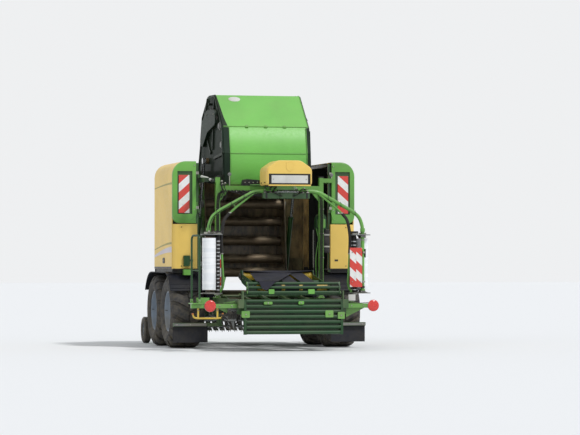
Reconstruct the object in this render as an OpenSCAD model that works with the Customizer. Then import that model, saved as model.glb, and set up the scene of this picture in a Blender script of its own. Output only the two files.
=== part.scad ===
// Towed round baler and bale wrapper, parked on its wheels and jack with the tailgate raised.
// Y is the driving direction, X points to the machine's right, Z is up, the floor is Z = 0.
// Stations along Y are measured from the axis of the wrapping rotor; placed() moves them to the frame.

/* [Wheels] */
// Outer diameter of a tyre over its tread
tyre_d = 1050; // [950:5:1150]
// Width of a tyre
tyre_w = 500; // [420:5:520]
// Diameter of the tyre's seat on its rim
rim_d = 580; // [500:5:640]
// Depth of the tread's grooves
lug_depth = 28; // [15:1:35]
// Number of tread blocks around a tyre
lug_count = 16; // [12:1:16]
// Angle by which a tread block's outer end trails its middle
lug_sweep = 14; // [0:1:20]
// Distance between the wheel planes, left to right
track = 2300; // [2200:10:2340]
// Station of the rear axle
rear_axle_st = 1680; // [1600:10:1700]
// Distance between the two axles
wheelbase = 1100; // [1060:5:1160]
// Radius of an axle's stub in its wheel hub
spindle_r = 40; // [30:1:55]
// Height and depth of an axle's square beam
axle_beam = 100; // [80:5:120]

/* [Chassis] */
// Distance from the middle plane to the inner face of a rail
rail_in = 700; // [690:5:710]
// Width of a rail
rail_w = 80; // [70:5:90]
// Height of the rails' lower face
rail_z = 600; // [590:2:620]
// Height of a rail's section
rail_h = 120; // [100:5:140]
// Station of the rails' rear end
rail_rear_st = -480; // [-500:5:-470]
// Station of the rails' front end
rail_front_st = 3400; // [3380:5:3500]
// Side of a cross member's square section
cross_w = 80; // [60:5:100]
// Height of the chamber's supports over the rails
support_h = 140; // [100:5:150]

/* [Drawbar] */
// Height of the drawbar's lower face above the pickup
bar_z = 1020; // [1010:5:1080]
// Height of the drawbar's section
bar_h = 160; // [120:5:200]
// Width of the drawbar
bar_w = 160; // [120:5:200]
// Station of the drawbar's knee
bar_knee_st = 4450; // [4350:10:4600]
// Station where the drawbar's lower stretch begins
bar_low_st = 5250; // [5150:10:5300]
// Height of the drawbar's section at its front end
bar_low_h = 120; // [100:5:140]
// Station of the drawbar's front end
bar_front_st = 6450; // [6200:10:6700]
// Height of the coupling ring's middle
eye_z = 540; // [450:5:640]
// Radius of the coupling ring's bore
eye_bore_r = 20; // [18:0.5:26]
// Outer radius of the coupling ring
eye_r = 60; // [50:1:70]
// Thickness of the coupling ring
eye_t = 30; // [25:1:40]
// Station of the parking jack
jack_st = 5600; // [5450:10:5900]
// Side of the jack's inner leg
jack_w = 60; // [50:1:70]
// Length of the jack's inner leg
jack_len = 751; // [700:1:780]
// Wall of the jack's housing
jack_wall = 10; // [8:1:14]
// Height of the housing's lower end
jack_house_z = 420; // [415:5:440]
// Length of the jack's housing
jack_house_h = 480; // [460:5:520]
// Radius of the jack's foot
foot_r = 110; // [80:5:120]
// Thickness of the jack's foot
foot_t = 10; // [6:1:14]
// Station of the drive gearbox's rear face
gear_st = 3450; // [3420:5:3500]
// Length of the drive gearbox
gear_l = 300; // [240:10:320]
// Width of the drive gearbox
gear_w = 300; // [240:10:340]
// Height of the drive gearbox
gear_h = 240; // [200:10:260]
// Radius of the power input shaft
pto_r = 17.5; // [15:0.5:25]
// Free length of the power input shaft
pto_len = 90; // [60:5:120]

/* [Bale chamber] */
// Clear width between the side plates
chamber_w = 1200; // [1180:5:1220]
// Thickness of a side plate of the chamber
plate_t = 15; // [10:1:18]
// Thickness of the outer skins
skin_t = 20; // [12:1:30]
// Station of the chamber's centre
chamber_st = 2300; // [2280:5:2320]
// Height of the chamber's centre
chamber_z = 1680; // [1660:5:1700]
// Height of the chamber's lower edge
chamber_low_z = 800; // [790:2:810]
// Distance of the roller axes from the chamber's centre
roller_ring = 700; // [660:5:710]
// Diameter of a chamber roller
roller_d = 140; // [110:2:150]
// Station of the tailgate's hinge
hinge_st = 2850; // [2840:2:2870]
// Height of the tailgate's hinge
hinge_z = 2400; // [2390:2:2420]
// Radius of the tailgate's hinge pins
hinge_r = 30; // [20:1:40]
// Angle by which the tailgate stands open
gate_open = 75; // [60:1:78]
// Thickness of a side plate of the tailgate
gate_plate_t = 12; // [8:1:16]
// Half width of the binding unit's hood
bind_half = 750; // [720:5:780]
// Depth of the binding unit's hood
bind_d = 534; // [450:2:560]
// Height of the lower edge of the binding unit's hood
bind_z = 1750; // [1700:10:1800]
// Height of the binding unit's hood
bind_h = 700; // [600:10:720]
// Depth of the feed rotor's housing
infeed_d = 370; // [330:5:400]
// Height of the feed rotor's housing
infeed_h = 350; // [300:5:380]

/* [Tailgate cylinders] */
// Station of a cylinder's lower pin
cyl_base_st = 3100; // [3080:5:3110]
// Height of a cylinder's lower pin
cyl_base_z = 1000; // [980:5:1040]
// Distance of the cylinders from the middle plane
cyl_x = 700; // [690:1:705]
// Distance of the rod's eye from the tailgate hinge
cyl_arm = 602; // [560:5:640]
// Direction of the rod's eye from the hinge with the tailgate open
cyl_arm_deg = 146.7; // [140:1:150]
// Outer radius of a cylinder's barrel
barrel_r = 35; // [30:1:40]
// Length of a barrel from its lower pin
barrel_len = 1000; // [940:10:1060]
// Radius of a piston rod
rod_r = 22; // [16:1:26]
// Length of a rod from its eye to its inner end
rod_len = 1050; // [1000:10:1100]
// Radius of the pins at both ends of a cylinder
cyl_pin_r = 20; // [15:1:24]
// Width of the eyes at both ends of a cylinder
cyl_eye_w = 50; // [40:1:56]

/* [Wrapping rotor] */
// Height of the rotor beam's lower face
beam_z = 2120; // [2100:5:2130]
// Height of the rotor beam
beam_h = 80; // [60:5:90]
// Half length of the rotor beam
beam_half = 330; // [300:5:360]
// Radius of the arm tubes
arm_r = 25; // [20:1:30]
// Radius of the safety bow tubes
bow_r = 16; // [12:1:20]
// Radial distance of the arm's post
post_x = 1100; // [1090:1:1105]
// Offset of the arm's plane from the rotor's axis
arm_y = -20; // [-26:1:-18]
// Radial distance of the film roll's axis
roll_x = 1120; // [1115:1:1122]
// Sideways distance of the film roll's axis
roll_y = 120; // [118:1:130]
// Radius of a film roll
roll_r = 95; // [60:1:97]
// Length of a film roll
roll_len = 750; // [500:10:780]
// Radius of a film roll's core bore
core_r = 38; // [25:1:45]
// Height of the film units' lower plates
unit_z = 795; // [790:1:800]
// Thickness of the film units' plates
unit_t = 12; // [8:1:16]
// Clear height between the plates of a film unit
unit_h = 805; // [795:5:820]
// Radius of a stretch roller
stretch_r = 30; // [24:1:33]
// Width of a warning board
board_w = 178; // [150:2:195]
// Height of a warning board
board_h = 550; // [400:10:600]

/* [Wrapper frame] */
// Distance from the middle plane to the inner face of an upright
upright_in = 730; // [728:1:735]
// Width of an upright
upright_w = 60; // [50:1:70]
// Station of the uprights' rear face
upright_st = 1020; // [1018:1:1025]
// Depth of an upright
upright_d = 80; // [60:1:82]
// Height of the cross beam's lower face
cross_z = 2260; // [2250:5:2280]
// Height of the cross beam
cross_h = 70; // [50:5:90]
// Height of the beam that carries the rotor
gallows_h = 150; // [120:5:180]
// Half width of the beam that carries the rotor
gallows_half = 120; // [90:5:130]
// Half width of the hub's cover
cover_half = 325; // [300:5:350]
// Depth of the hub's cover
cover_d = 470; // [440:5:500]
// Height of the hub's cover
cover_h = 350; // [300:5:400]
// Thickness of the covers' walls
cover_t = 12; // [8:1:20]
// Width of the number plate
plate_w = 520; // [400:10:520]
// Height of the number plate
plate_h = 110; // [90:5:120]

/* [Wrapping table] */
// Station of the table's tilting axis
table_st = -420; // [-430:1:-410]
// Height of the table's tilting axis
table_z = 800; // [795:1:810]
// Half width between the table's side plates
table_half = 505; // [480:1:510]
// Station of the table's front roller
table_front_st = 585; // [540:5:590]
// Height of the table's front roller
table_front_z = 1030; // [1000:5:1050]
// Station of the table's rear roller
table_rear_st = -330; // [-340:1:-320]
// Height of the table's rear roller
table_rear_z = 880; // [870:1:890]
// Radius of the table's rollers
table_roller_r = 62; // [50:1:66]
// Thickness of the table's belts
belt_t = 6; // [4:1:8]
// Radius of the tubes of table and ramp
tube_r = 20; // [15:1:21]
// Radius of the pins of table and fork
pin_r = 15; // [12:1:18]
// Half width of the rear ramp between its side plates
ramp_half = 670; // [660:1:675]
// Number of tubes in the rear ramp
ramp_count = 7; // [4:1:7]
// Distance between the ramp's tubes
ramp_pitch = 72; // [60:1:72]
// Radius of the ramp's tubes
ramp_r = 26; // [18:1:28]
// Height of the ramp's lowest tube
ramp_low_z = 265; // [240:5:270]

/* [Lamps and guard] */
// Distance from the middle plane to a rear lamp
lamp_x = 1158; // [1120:2:1200]
// Station of the tubes that carry the lamps
lamp_st = -380; // [-385:1:-370]
// Radius of a rear lamp
lamp_r = 80; // [50:5:90]
// Depth of a rear lamp
lamp_t = 30; // [20:1:40]
// Side of the lamp tubes' square section
lamp_tube = 60; // [50:2:70]
// Height of the guard hoop
hoop_h = 928; // [800:4:960]
// Radius of the guard hoop's tube
hoop_r = 14; // [10:1:17]

/* [Transfer fork] */
// Station of the fork's pivot
fork_st = 800; // [780:5:820]
// Height of the fork's pivot
fork_z = 660; // [655:1:668]
// Length of the fork from its pivot
fork_len = 950; // [800:10:980]
// Rise of the fork's tip over its pivot
fork_rise = 90; // [60:5:100]
// Half width of the fork
fork_half = 580; // [500:5:600]
// Number of the fork's tubes
fork_count = 5; // [3:1:7]

/* [Pickup] */
// Station of the pickup's lifting axis
lift_st = 3200; // [3190:5:3210]
// Height of the pickup's lifting axis
lift_z = 750; // [740:2:760]
// Station of the tine reel's axis
reel_st = 3850; // [3840:5:3880]
// Height of the tine reel's axis
reel_z = 400; // [390:5:420]
// Radius at the tips of the tines
tine_tip_r = 280; // [240:5:285]
// Radius of the reel's tube
reel_tube_r = 70; // [60:5:90]
// Distance of the tine bars from the reel's axis
tine_bar_ring = 175; // [160:5:185]
// Radius of a tine bar
tine_bar_r = 17; // [14:1:20]
// Side of a tine's square section
tine_w = 8; // [6:1:10]
// Number of tines along a bar
tine_count = 20; // [10:1:24]
// Number of tine bars around the reel
tine_bars = 5; // [4:1:6]
// Half width of the reel
reel_half = 1000; // [900:10:1000]
// Distance from the middle plane to a gauge wheel
gauge_x = 1280; // [1200:5:1310]
// Station of the gauge wheels
gauge_st = 3950; // [3900:5:4000]
// Diameter of a gauge wheel
gauge_d = 400; // [340:5:400]
// Width of a gauge wheel
gauge_w = 110; // [80:5:130]

/* [Covers] */
// Distance from the middle plane to the inner edge of a side panel
panel_in = 1005; // [1004:1:1006]
// Distance from the middle plane to the outer face of a side panel
panel_out = 1350; // [1320:5:1380]
// Distance from the middle plane to the outer face of a rear box
box_out = 1250; // [1200:5:1280]
// Wall of the rear boxes
box_t = 20; // [10:1:24]
// Height of a side panel's lower edge
panel_low_z = 1140; // [1120:5:1200]
// Height of a side panel's top
panel_top_z = 2690; // [2685:5:2720]
// Thickness of the side panels
panel_t = 14; // [10:1:24]
// Radius of a side panel's upper outer corner
panel_corner_r = 200; // [140:5:240]
// Station of a side panel's rear edge
panel_rear_st = 1450; // [1446:1:1456]
// Station of a side panel's front edge
panel_front_st = 2850; // [2700:10:2900]
// Thickness of the rear covers
hood_t = 40; // [30:1:44]
// Station of the rear covers' rear face
hood_rear_st = 1400; // [1390:1:1402]
// Height of a rear cover's lower edge
hood_low_z = 1790; // [1750:5:1850]
// Height of the mudguards' upper face
guard_z = 1096; // [1090:2:1110]
// Thickness of a mudguard's sheet
guard_t = 8; // [6:1:12]
// Angle over which a mudguard follows its tyre down
guard_deg = 58; // [40:1:60]
// Gap between a tyre's inner side and the mudguard's inner wall
guard_gap = 32; // [25:1:40]
// Reach of a mudguard beyond the tyre's outer side
guard_reach = 20; // [10:1:30]
// Radius of a rear cover's lower outer corner
hood_corner_r = 110; // [40:5:150]
// Height of the mudflaps' lower edge
flap_low_z = 90; // [60:5:120]
// Height of the mudflaps' carrier tubes
flap_top_z = 320; // [300:5:340]
// Thickness of a mudflap
flap_t = 8; // [6:1:12]
// Station of the mudflaps' rear face
flap_st = 1040; // [1020:2:1050]

/* [Clearances] */
// Gap between a pin or shaft and its bore
fit = 0.3; // [0.2:0.05:0.5]
// Gap between the jack's leg and its housing
jack_gap = 0.5; // [0.3:0.1:0.9]
// Gap between moving pieces that lie side by side
run = 5; // [4:1:8]

/* [Hidden] */
$fn = 48;

// Colours
green = [0.36, 0.62, 0.20];
dark_green = [0.10, 0.30, 0.14];
beige = [0.90, 0.78, 0.48];
black = [0.09, 0.09, 0.09];
grey = [0.55, 0.56, 0.56];
rim_grey = [0.52, 0.58, 0.63];
tyre_black = [0.14, 0.13, 0.12];
dusty = [0.36, 0.31, 0.24];
film_white = [0.92, 0.93, 0.95];
yellow = [0.92, 0.76, 0.12];
red = [0.85, 0.12, 0.10];
steel = [0.70, 0.71, 0.72];

// Overall places
eye_st = bar_front_st + 140;
table_tube_reach = 80;
rear_tip_st = table_st - table_tube_reach;
front_tip_st = eye_st + eye_r;
origin_st = (front_tip_st + rear_tip_st) / 2;
rail_top = rail_z + rail_h;
rail_out = rail_in + rail_w;
cross_places = [-340, 460, 1060, 2190, 3050];

// Lamps
hoop_z = rail_z + lamp_tube + 12;

// Wheels
wheel_z = tyre_d / 2;
front_axle_st = rear_axle_st + wheelbase;
rim_w = tyre_w - 80;
rim_t = 15;
hub_r = 95;
hub_out = 80;

// Chamber
plate_x = chamber_w / 2;
plate_out = plate_x + plate_t;
gate_x = plate_out + run;
gate_out = gate_x + gate_plate_t;
// Corners of the side plates as station, height, from the chamber's centre and the lugs from the hinge
chamber_mid = [chamber_st, chamber_z];
hinge_mid = [hinge_st, hinge_z];
front_floor = [[chamber_st + 240, chamber_low_z], [chamber_st + 700, chamber_low_z]];
front_wall = [for (p = [[920, -630], [950, -80], [900, 370]]) chamber_mid + p];
front_lug = [for (p = [[160, 0], [40, 80], [-60, 70], [-90, -70]]) hinge_mid + p];
front_outline = concat(front_floor, front_wall, front_lug);
gate_wall = [
    for (p = [[171, -887], [-263, -770], [-604, -575], [-931, 102], [-820, 560], [-419, 928], [30, 942]])
        chamber_mid + p
];
gate_lug = [for (p = [[-19, 316], [65, 60], [55, -50], [-50, -70]]) hinge_mid + p];
gate_outline = concat(gate_wall, gate_lug, [chamber_mid + [190, -880]]);
// Corners that the outer skins follow
front_skin = concat(front_wall, [front_lug[0], front_lug[1]]);
gate_skin = concat(gate_wall, [gate_lug[0]]);
front_face_st = front_wall[1][0];
bind_st = front_face_st + 16;
bind_top_d = 374;
bind_front_h = 500;
// Angles of the rollers around the chamber's centre
gate_roller_deg = [110, 136, 162, 188, 214, 240];
front_roller_deg = [-58, -34, -10, 14, 38];

// Tailgate cylinders
eye_s = hinge_st + cyl_arm * cos(cyl_arm_deg);
eye_h = hinge_z + cyl_arm * sin(cyl_arm_deg);
cyl_len = norm([eye_s - cyl_base_st, eye_h - cyl_base_z]);
cyl_tilt = atan2(cyl_base_st - eye_s, eye_h - cyl_base_z);
boss_r = 45;

// Wrapper
upright_out = upright_in + upright_w;
cross_top = cross_z + cross_h;
gallows_top = cross_top + gallows_h;
hub_bore_r = 40;
hub_house_r = 130;
hub_house_z = beam_z + beam_h + 40;
cover_rear_st = -230;
cover_z = 2300;
unit_top = unit_z + unit_t + unit_h;
// Arm and bow routes as radial distance, height
arm_root_z = beam_z + beam_h + arm_r;
arm_route = [
    [beam_half - 130, arm_root_z], [370, arm_root_z], [470, arm_root_z - 15], [940, 1955],
    [1050, 1870], [1090, 1760], [post_x, unit_top + unit_t + 60], [post_x, unit_top + unit_t]
];
bow_route = [
    [440, arm_root_z - 12], [750, 1965], [880, 1830], [922, 1600],
    [905, 1200], [885, 940], [905, 860], [935, unit_z + unit_t + 25], [935, unit_z + unit_t]
];
unit_outline = [
    [925, -125], [1125, -125], [1220, -20], [1222, 150], [1170, 222],
    [1060, 226], [925, 120]
];
roll_z = unit_z + unit_t + 27;
board_x = 915;
board_y = -107;
board_z = 886;
board_t = 12;
stretch_places = [[post_x - 115, roll_y - 50], [post_x - 115, roll_y - 125]];

// Height of the apron over the axis of the table's front roller
apron_lift = table_roller_r + belt_t + 14;

// Drawbar, pickup and wheels
jack_x = -bar_w / 2 - jack_w / 2 - jack_wall;
infeed_st = cross_places[4] + cross_w;
infeed_top_z = lift_z + 50;
gauge_z = gauge_d / 2 + 5;
lift_arm_x = 640;
lift_arm_w = 40;
guard_in = track / 2 - tyre_w / 2 - guard_gap;
guard_out = track / 2 + tyre_w / 2 + guard_reach;
flap_in = track / 2 - tyre_w / 2 + 5;
flap_out = guard_out - 10;
flap_tube = 40;
flap_tube_h = 50;
guard_ring = guard_z - wheel_z;

// Covers
post_out = 1000;
post_w = 40;
post_in = post_out - post_w;
panel_axis_x = panel_in - 5;
panel_axis_z = panel_top_z - 10;
knuckle_places = [panel_rear_st + 150, panel_rear_st + 650, panel_rear_st + 1150];
notch = 3;
box_in = post_out - 15;
cover_axis_x = post_out - 28;
cover_axis_st = hood_rear_st - 2;
cover_knuckle_places = [hood_low_z + 160, hood_low_z + 660];
front_post_st = 3030;
sheet_low_z = 1300;
sheet_turn = 220;
knuckle_r = 10;
knuckle_len = 60;

// Places a piece given in stations into the part's frame
module placed() {
    translate([0, -origin_st, 0]) children();
}

// Repeats a piece on the left and on the right
module both_sides() {
    children();
    mirror([1, 0, 0]) children();
}

// Box between two opposite corners
module block(low, high) {
    translate(low) cube(high - low);
}

// Outline of station, height points extruded across from x0 to x1
module across(x0, x1) {
    translate([x0, 0, 0]) rotate([90, 0, 90]) linear_extrude(x1 - x0) children();
}

// Round bar across from x0 to x1 at a station and height
module cross_bar(x0, x1, st, z, r) {
    translate([x0, st, z]) rotate([0, 90, 0]) cylinder(r = r, h = x1 - x0);
}

// Round bar between two points
module rod_between(p, q, r) {
    d = q - p;
    tilt = acos(d[2] / norm(d));
    turn = atan2(d[1], d[0]);
    translate(p) rotate([0, tilt, turn]) cylinder(r = r, h = norm(d));
}

// Moves a point towards a centre by t
function inset(p, c, t) = p + t * (c - p) / norm(c - p);

// Closed outline of a skin of thickness t that follows some corners on their side towards a centre
function skin_outline(corners, c, t) =
    concat(corners, [for (i = [len(corners) - 1 : -1 : 0]) inset(corners[i], c, t)]);

function unit(v) = v / norm(v);

// Direction of a route at point i
function route_dir(pts, i) =
    i == 0 ? unit(pts[1] - pts[0])
    : i == len(pts) - 1 ? unit(pts[i] - pts[i - 1])
    : unit(unit(pts[i + 1] - pts[i]) + unit(pts[i] - pts[i - 1]));

// Tube of radius r along a route that lies in the plane Y = y; points are distance along X, height
module bent_tube(pts, y, r, sides = 12) {
    n = len(pts);
    rings = [
        for (i = [0 : n - 1])
            let (d = route_dir(pts, i), across_dir = [-d[1], d[0]],
                 seg = unit(pts[min(i + 1, n - 1)] - pts[min(i, n - 2)]),
                 stretch = 1 / max(0.5, abs(d * seg)))
            for (k = [0 : sides - 1])
                let (a = 360 * k / sides, u = r * stretch * cos(a), w = r * sin(a))
                [pts[i][0] + across_dir[0] * u, y + w, pts[i][1] + across_dir[1] * u]
    ];
    walls = [
        for (i = [0 : n - 2])
            for (k = [0 : sides - 1])
                let (m = (k + 1) % sides)
                [i * sides + k, i * sides + m, (i + 1) * sides + m, (i + 1) * sides + k]
    ];
    polyhedron(
        points = rings,
        faces = concat(
            walls,
            [[for (k = [sides - 1 : -1 : 0]) k]],
            [[for (k = [0 : sides - 1]) (n - 1) * sides + k]]
        )
    );
}

// Rails, cross members, front frame, table and fork brackets
module chassis_frame() {
    color(dark_green) placed() {
        both_sides() {
            block([rail_in, rail_rear_st, rail_z], [rail_out, rail_front_st, rail_top]);
            // Bracket of the table's tilting axis
            difference() {
                block([rail_in, table_st - 40, rail_top - 1], [rail_in + 20, table_st + 40, table_z + 40]);
                cross_bar(rail_in - 1, rail_in + 21, table_st, table_z, pin_r + fit);
            }
            // Bracket of the transfer fork's pivot
            difference() {
                block([rail_in - 20, fork_st - 40, rail_z + 5], [rail_in + 1, fork_st + 40, rail_top]);
                cross_bar(rail_in - 21, rail_in, fork_st, fork_z, pin_r + fit);
            }
            // Front posts that carry the drawbar's cross beam
            block([rail_in, rail_front_st - cross_w, rail_top - 1], [rail_out, rail_front_st, bar_z + bar_h]);
            // Hanger and tube that carry the mudflap
            block([rail_in, flap_st - flap_tube, flap_top_z], [rail_out, flap_st, rail_z + 1]);
            block([rail_in, flap_st - flap_tube, flap_top_z], [flap_out, flap_st, flap_top_z + flap_tube_h]);
            // Supports of the chamber on the rails
            for (st = [chamber_st + 300, chamber_st + 600]) {
                block([plate_out, st, rail_top - 1], [rail_out, st + 40, rail_top + support_h]);
            }
        }
        for (st = cross_places) {
            block([-rail_out, st, rail_z - cross_w], [rail_out, st + cross_w, rail_z + 1]);
        }
        block([-rail_out, rail_front_st - cross_w, bar_z], [rail_out, rail_front_st, bar_z + bar_h]);
    }
}

// Drawbar beam with the jack's housing
module drawbar() {
    low_z = eye_z - bar_low_h / 2;
    high_z = eye_z + bar_low_h / 2;
    house_half = jack_w / 2 + jack_wall;
    clear_half = jack_w / 2 + jack_gap;
    color(green) placed() {
        across(-bar_w / 2, bar_w / 2) polygon([
            [rail_front_st, bar_z], [bar_knee_st, bar_z], [bar_low_st, low_z], [bar_front_st, low_z],
            [bar_front_st, high_z], [bar_low_st + 70, high_z], [bar_knee_st + 60, bar_z + bar_h],
            [rail_front_st, bar_z + bar_h]
        ]);
        difference() {
            block(
                [jack_x - house_half, jack_st - house_half, jack_house_z],
                [jack_x + house_half, jack_st + house_half, jack_house_z + jack_house_h]
            );
            block(
                [jack_x - clear_half, jack_st - clear_half, jack_house_z - 1],
                [jack_x + clear_half, jack_st + clear_half, jack_house_z + jack_house_h + 1]
            );
        }
    }
}

// Ring that couples to the tractor
module tow_eye() {
    color(dark_green) placed() {
        difference() {
            union() {
                translate([0, eye_st, eye_z - eye_t / 2]) cylinder(r = eye_r, h = eye_t);
                block(
                    [-eye_r / 2, bar_front_st, eye_z - eye_t / 2],
                    [eye_r / 2, eye_st - 2 * eye_bore_r, eye_z + eye_t / 2]
                );
                block([-eye_r, bar_front_st, eye_z - 50], [eye_r, bar_front_st + 20, eye_z + 50]);
            }
            translate([0, eye_st, eye_z - eye_t]) cylinder(r = eye_bore_r, h = 2 * eye_t);
        }
    }
}

// Drive gearbox on the drawbar with the power input shaft
module gearbox() {
    gear_z = bar_z + bar_h;
    collar_l = 30;
    collar_r = 55;
    color(grey) placed() {
        block([-gear_w / 2, gear_st, gear_z], [gear_w / 2, gear_st + gear_l, gear_z + gear_h]);
        translate([0, gear_st + gear_l - 1, gear_z + gear_h / 2]) rotate([-90, 0, 0]) {
            cylinder(r = collar_r, h = collar_l + 1);
            cylinder(r = pto_r, h = collar_l + 1 + pto_len);
        }
    }
}

// Housing of the feed rotor between pickup and chamber, with the pickup's pivot pins
module infeed_housing() {
    color(dark_green) placed() {
        block(
            [-plate_x, infeed_st, infeed_top_z - infeed_h], [plate_x, infeed_st + infeed_d, infeed_top_z]
        );
        both_sides() cross_bar(plate_x - 1, lift_arm_x + lift_arm_w + 10, lift_st, lift_z, cyl_pin_r);
    }
}

// Both axle beams with their stubs and the blocks under the rails
module axles() {
    stub_out = track / 2 + hub_out - 12;
    beam_out = track / 2 - tyre_w / 2 - 40;
    color(dark_green) placed() {
        for (st = [rear_axle_st, front_axle_st]) {
            block(
                [-beam_out, st - axle_beam / 2, wheel_z - axle_beam / 2],
                [beam_out, st + axle_beam / 2, wheel_z + axle_beam / 2]
            );
            both_sides() {
                block([rail_in, st - 60, wheel_z + axle_beam / 2 - 1], [rail_out, st + 60, rail_z]);
                cross_bar(beam_out - 1, stub_out, st, wheel_z, spindle_r);
            }
        }
    }
}

// Fixed front half of the bale chamber
module chamber_front() {
    color(green) placed() {
        both_sides() {
            across(plate_x, plate_out) polygon(front_outline);
            // Tailgate hinge pin
            cross_bar(plate_out - 1, gate_out + 20, hinge_st, hinge_z, hinge_r);
            // Lower pin of the tailgate cylinder
            cross_bar(plate_out - 1, cyl_x + cyl_eye_w / 2 + 20, cyl_base_st, cyl_base_z, cyl_pin_r);
        }
        across(-plate_x - 1, plate_x + 1) polygon(skin_outline(front_skin, chamber_mid, skin_t));
        block(
            [-plate_x - 1, front_floor[0][0], chamber_low_z],
            [plate_x + 1, front_floor[1][0], chamber_low_z + skin_t]
        );
    }
}

// Rollers of the front half of the chamber
module chamber_rollers() {
    color(dusty) placed() {
        for (a = front_roller_deg) {
            cross_bar(
                -plate_x, plate_x,
                chamber_st + roller_ring * cos(a), chamber_z + roller_ring * sin(a), roller_d / 2
            );
        }
    }
}

// Hood of the binding unit at the front of the chamber
module binding_box() {
    color(green) placed() {
        difference() {
            across(-bind_half, bind_half) polygon([
                [bind_st, bind_z], [bind_st + bind_d, bind_z], [bind_st + bind_d, bind_z + bind_front_h],
                [bind_st + bind_top_d, bind_z + bind_h], [bind_st, bind_z + bind_h]
            ]);
            across(-bind_half + skin_t, bind_half - skin_t) polygon([
                [bind_st + skin_t, bind_z - 1], [bind_st + bind_d - skin_t, bind_z - 1],
                [bind_st + bind_d - skin_t, bind_z + bind_front_h - 10],
                [bind_st + bind_top_d - 10, bind_z + bind_h - skin_t],
                [bind_st + skin_t, bind_z + bind_h - skin_t]
            ]);
        }
        // Arms that seat on the outer faces of the chamber's side plates
        both_sides() block(
            [plate_out, bind_st - 166, bind_z + 150], [plate_out + plate_t, bind_st + 1, bind_z + 250]
        );
    }
}

// Posts and top rails that carry the side panels and rear covers
module side_frames() {
    rail_top_z = panel_axis_z - 15;
    color(dark_green) placed() both_sides() {
        block([post_in, panel_rear_st, guard_z], [post_out, panel_rear_st + post_w, rail_top_z]);
        block([post_in, front_post_st, guard_z], [post_out, front_post_st + post_w, rail_top_z]);
        block([post_in, panel_rear_st, rail_top_z - 40], [post_out, front_post_st + post_w, rail_top_z]);
        block([plate_out, front_post_st, hinge_z - 200], [post_out, front_post_st + post_w, hinge_z - 160]);
        // Sheet between the chamber and the front post, clear of the tailgate's cylinder
        block(
            [gate_out + 18, front_post_st + 15, sheet_low_z],
            [post_in + 1, front_post_st + 21, rail_top_z - 60]
        );
        block(
            [gate_out + 18, front_post_st + 15, sheet_low_z],
            [gate_out + 24, front_post_st + sheet_turn, rail_top_z - 60]
        );
        // Knuckles of the side panel's hinge
        for (st = knuckle_places) {
            translate([panel_axis_x, st + knuckle_len / 2 + fit, panel_axis_z])
                rotate([-90, 0, 0]) cylinder(r = knuckle_r, h = knuckle_len / 2);
            block(
                [panel_axis_x - 8, st + knuckle_len / 2 + fit, rail_top_z - 1],
                [panel_axis_x, st + knuckle_len + fit, panel_axis_z]
            );
        }
        // Knuckles of the rear cover's hinge
        for (z = cover_knuckle_places) {
            block([post_in - 10, cover_axis_st - 6, z], [post_in + 1, panel_rear_st + 10, z + 50]);
            translate([cover_axis_x, cover_axis_st, z]) cylinder(r = knuckle_r + 2, h = 50);
        }
    }
}

// Fixed boxes below the rear covers
module rear_boxes() {
    color(beige) placed() both_sides() {
        difference() {
            block([box_in, hood_rear_st, panel_low_z], [box_out, panel_rear_st, hood_low_z - run]);
            block(
                [box_in + box_t, hood_rear_st + box_t, panel_low_z + box_t],
                [box_out - box_t, panel_rear_st + 1, hood_low_z - run - box_t]
            );
        }
    }
}

// Line of a mudguard at a distance from the wheels' axes, in station and height, from rear to front
function guard_line(ring) = let (step = guard_deg / 6) concat(
    [for (a = [90 + guard_deg : -step : 90]) [rear_axle_st + ring * cos(a), wheel_z + ring * sin(a)]],
    [for (a = [90 : -step : 90 - guard_deg]) [front_axle_st + ring * cos(a), wheel_z + ring * sin(a)]]
);

// Mudguards over both wheels of a side, with their inner walls and outriggers
module mudguards() {
    line = guard_line(guard_ring);
    inner = guard_line(guard_ring - guard_t);
    rear = line[0][0] + 10;
    front = line[len(line) - 1][0] - 10;
    wall_z = rail_top + 5;
    color(dark_green) placed() both_sides() {
        across(guard_in, guard_out) polygon(concat(line, [for (i = [len(inner) - 1 : -1 : 0]) inner[i]]));
        across(guard_in, guard_in + 10) polygon(
            concat([[inner[0][0], wall_z]], guard_line(guard_ring - 1), [[inner[len(inner) - 1][0], wall_z]])
        );
        // Outriggers on the rails
        for (st = [rear + 60, rear_axle_st + 520, front - 100]) {
            block([rail_in, st, rail_top], [guard_in + 1, st + 40, rail_top + 50]);
        }
    }
}

// Mudflaps behind the wheels
module mudflaps() {
    color(black) placed() both_sides() {
        block([flap_in, flap_st, flap_low_z], [flap_out, flap_st + flap_t, flap_top_z + flap_tube]);
    }
}

// Uprights, cross beam and the beam that carries the wrapping rotor
module wrap_portal() {
    up_top = gallows_top - 20;
    strut_z = 2380;
    strut_top_z = strut_z + 60;
    strut_w = 40;
    color(green) placed() {
        both_sides() {
            block([upright_in, upright_st, rail_top], [upright_out, upright_st + upright_d, up_top]);
            // Struts to the side frames' posts
            block([upright_in + 10, upright_st, strut_z], [post_in, upright_st + strut_w, strut_top_z]);
            block([post_in - strut_w, upright_st, strut_z], [post_in, panel_rear_st + post_w, strut_top_z]);
        }
        block([-upright_in - 10, upright_st, cross_z], [upright_in + 10, upright_st + upright_d, cross_top]);
        block([-gallows_half, -60, cross_top - 1], [gallows_half, upright_st + upright_d, gallows_top]);
        difference() {
            translate([0, 0, hub_house_z]) cylinder(r = hub_house_r, h = cross_top - hub_house_z);
            translate([0, 0, hub_house_z - 1]) cylinder(r = hub_bore_r + fit, h = cross_top - hub_house_z);
        }
    }
}

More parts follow.
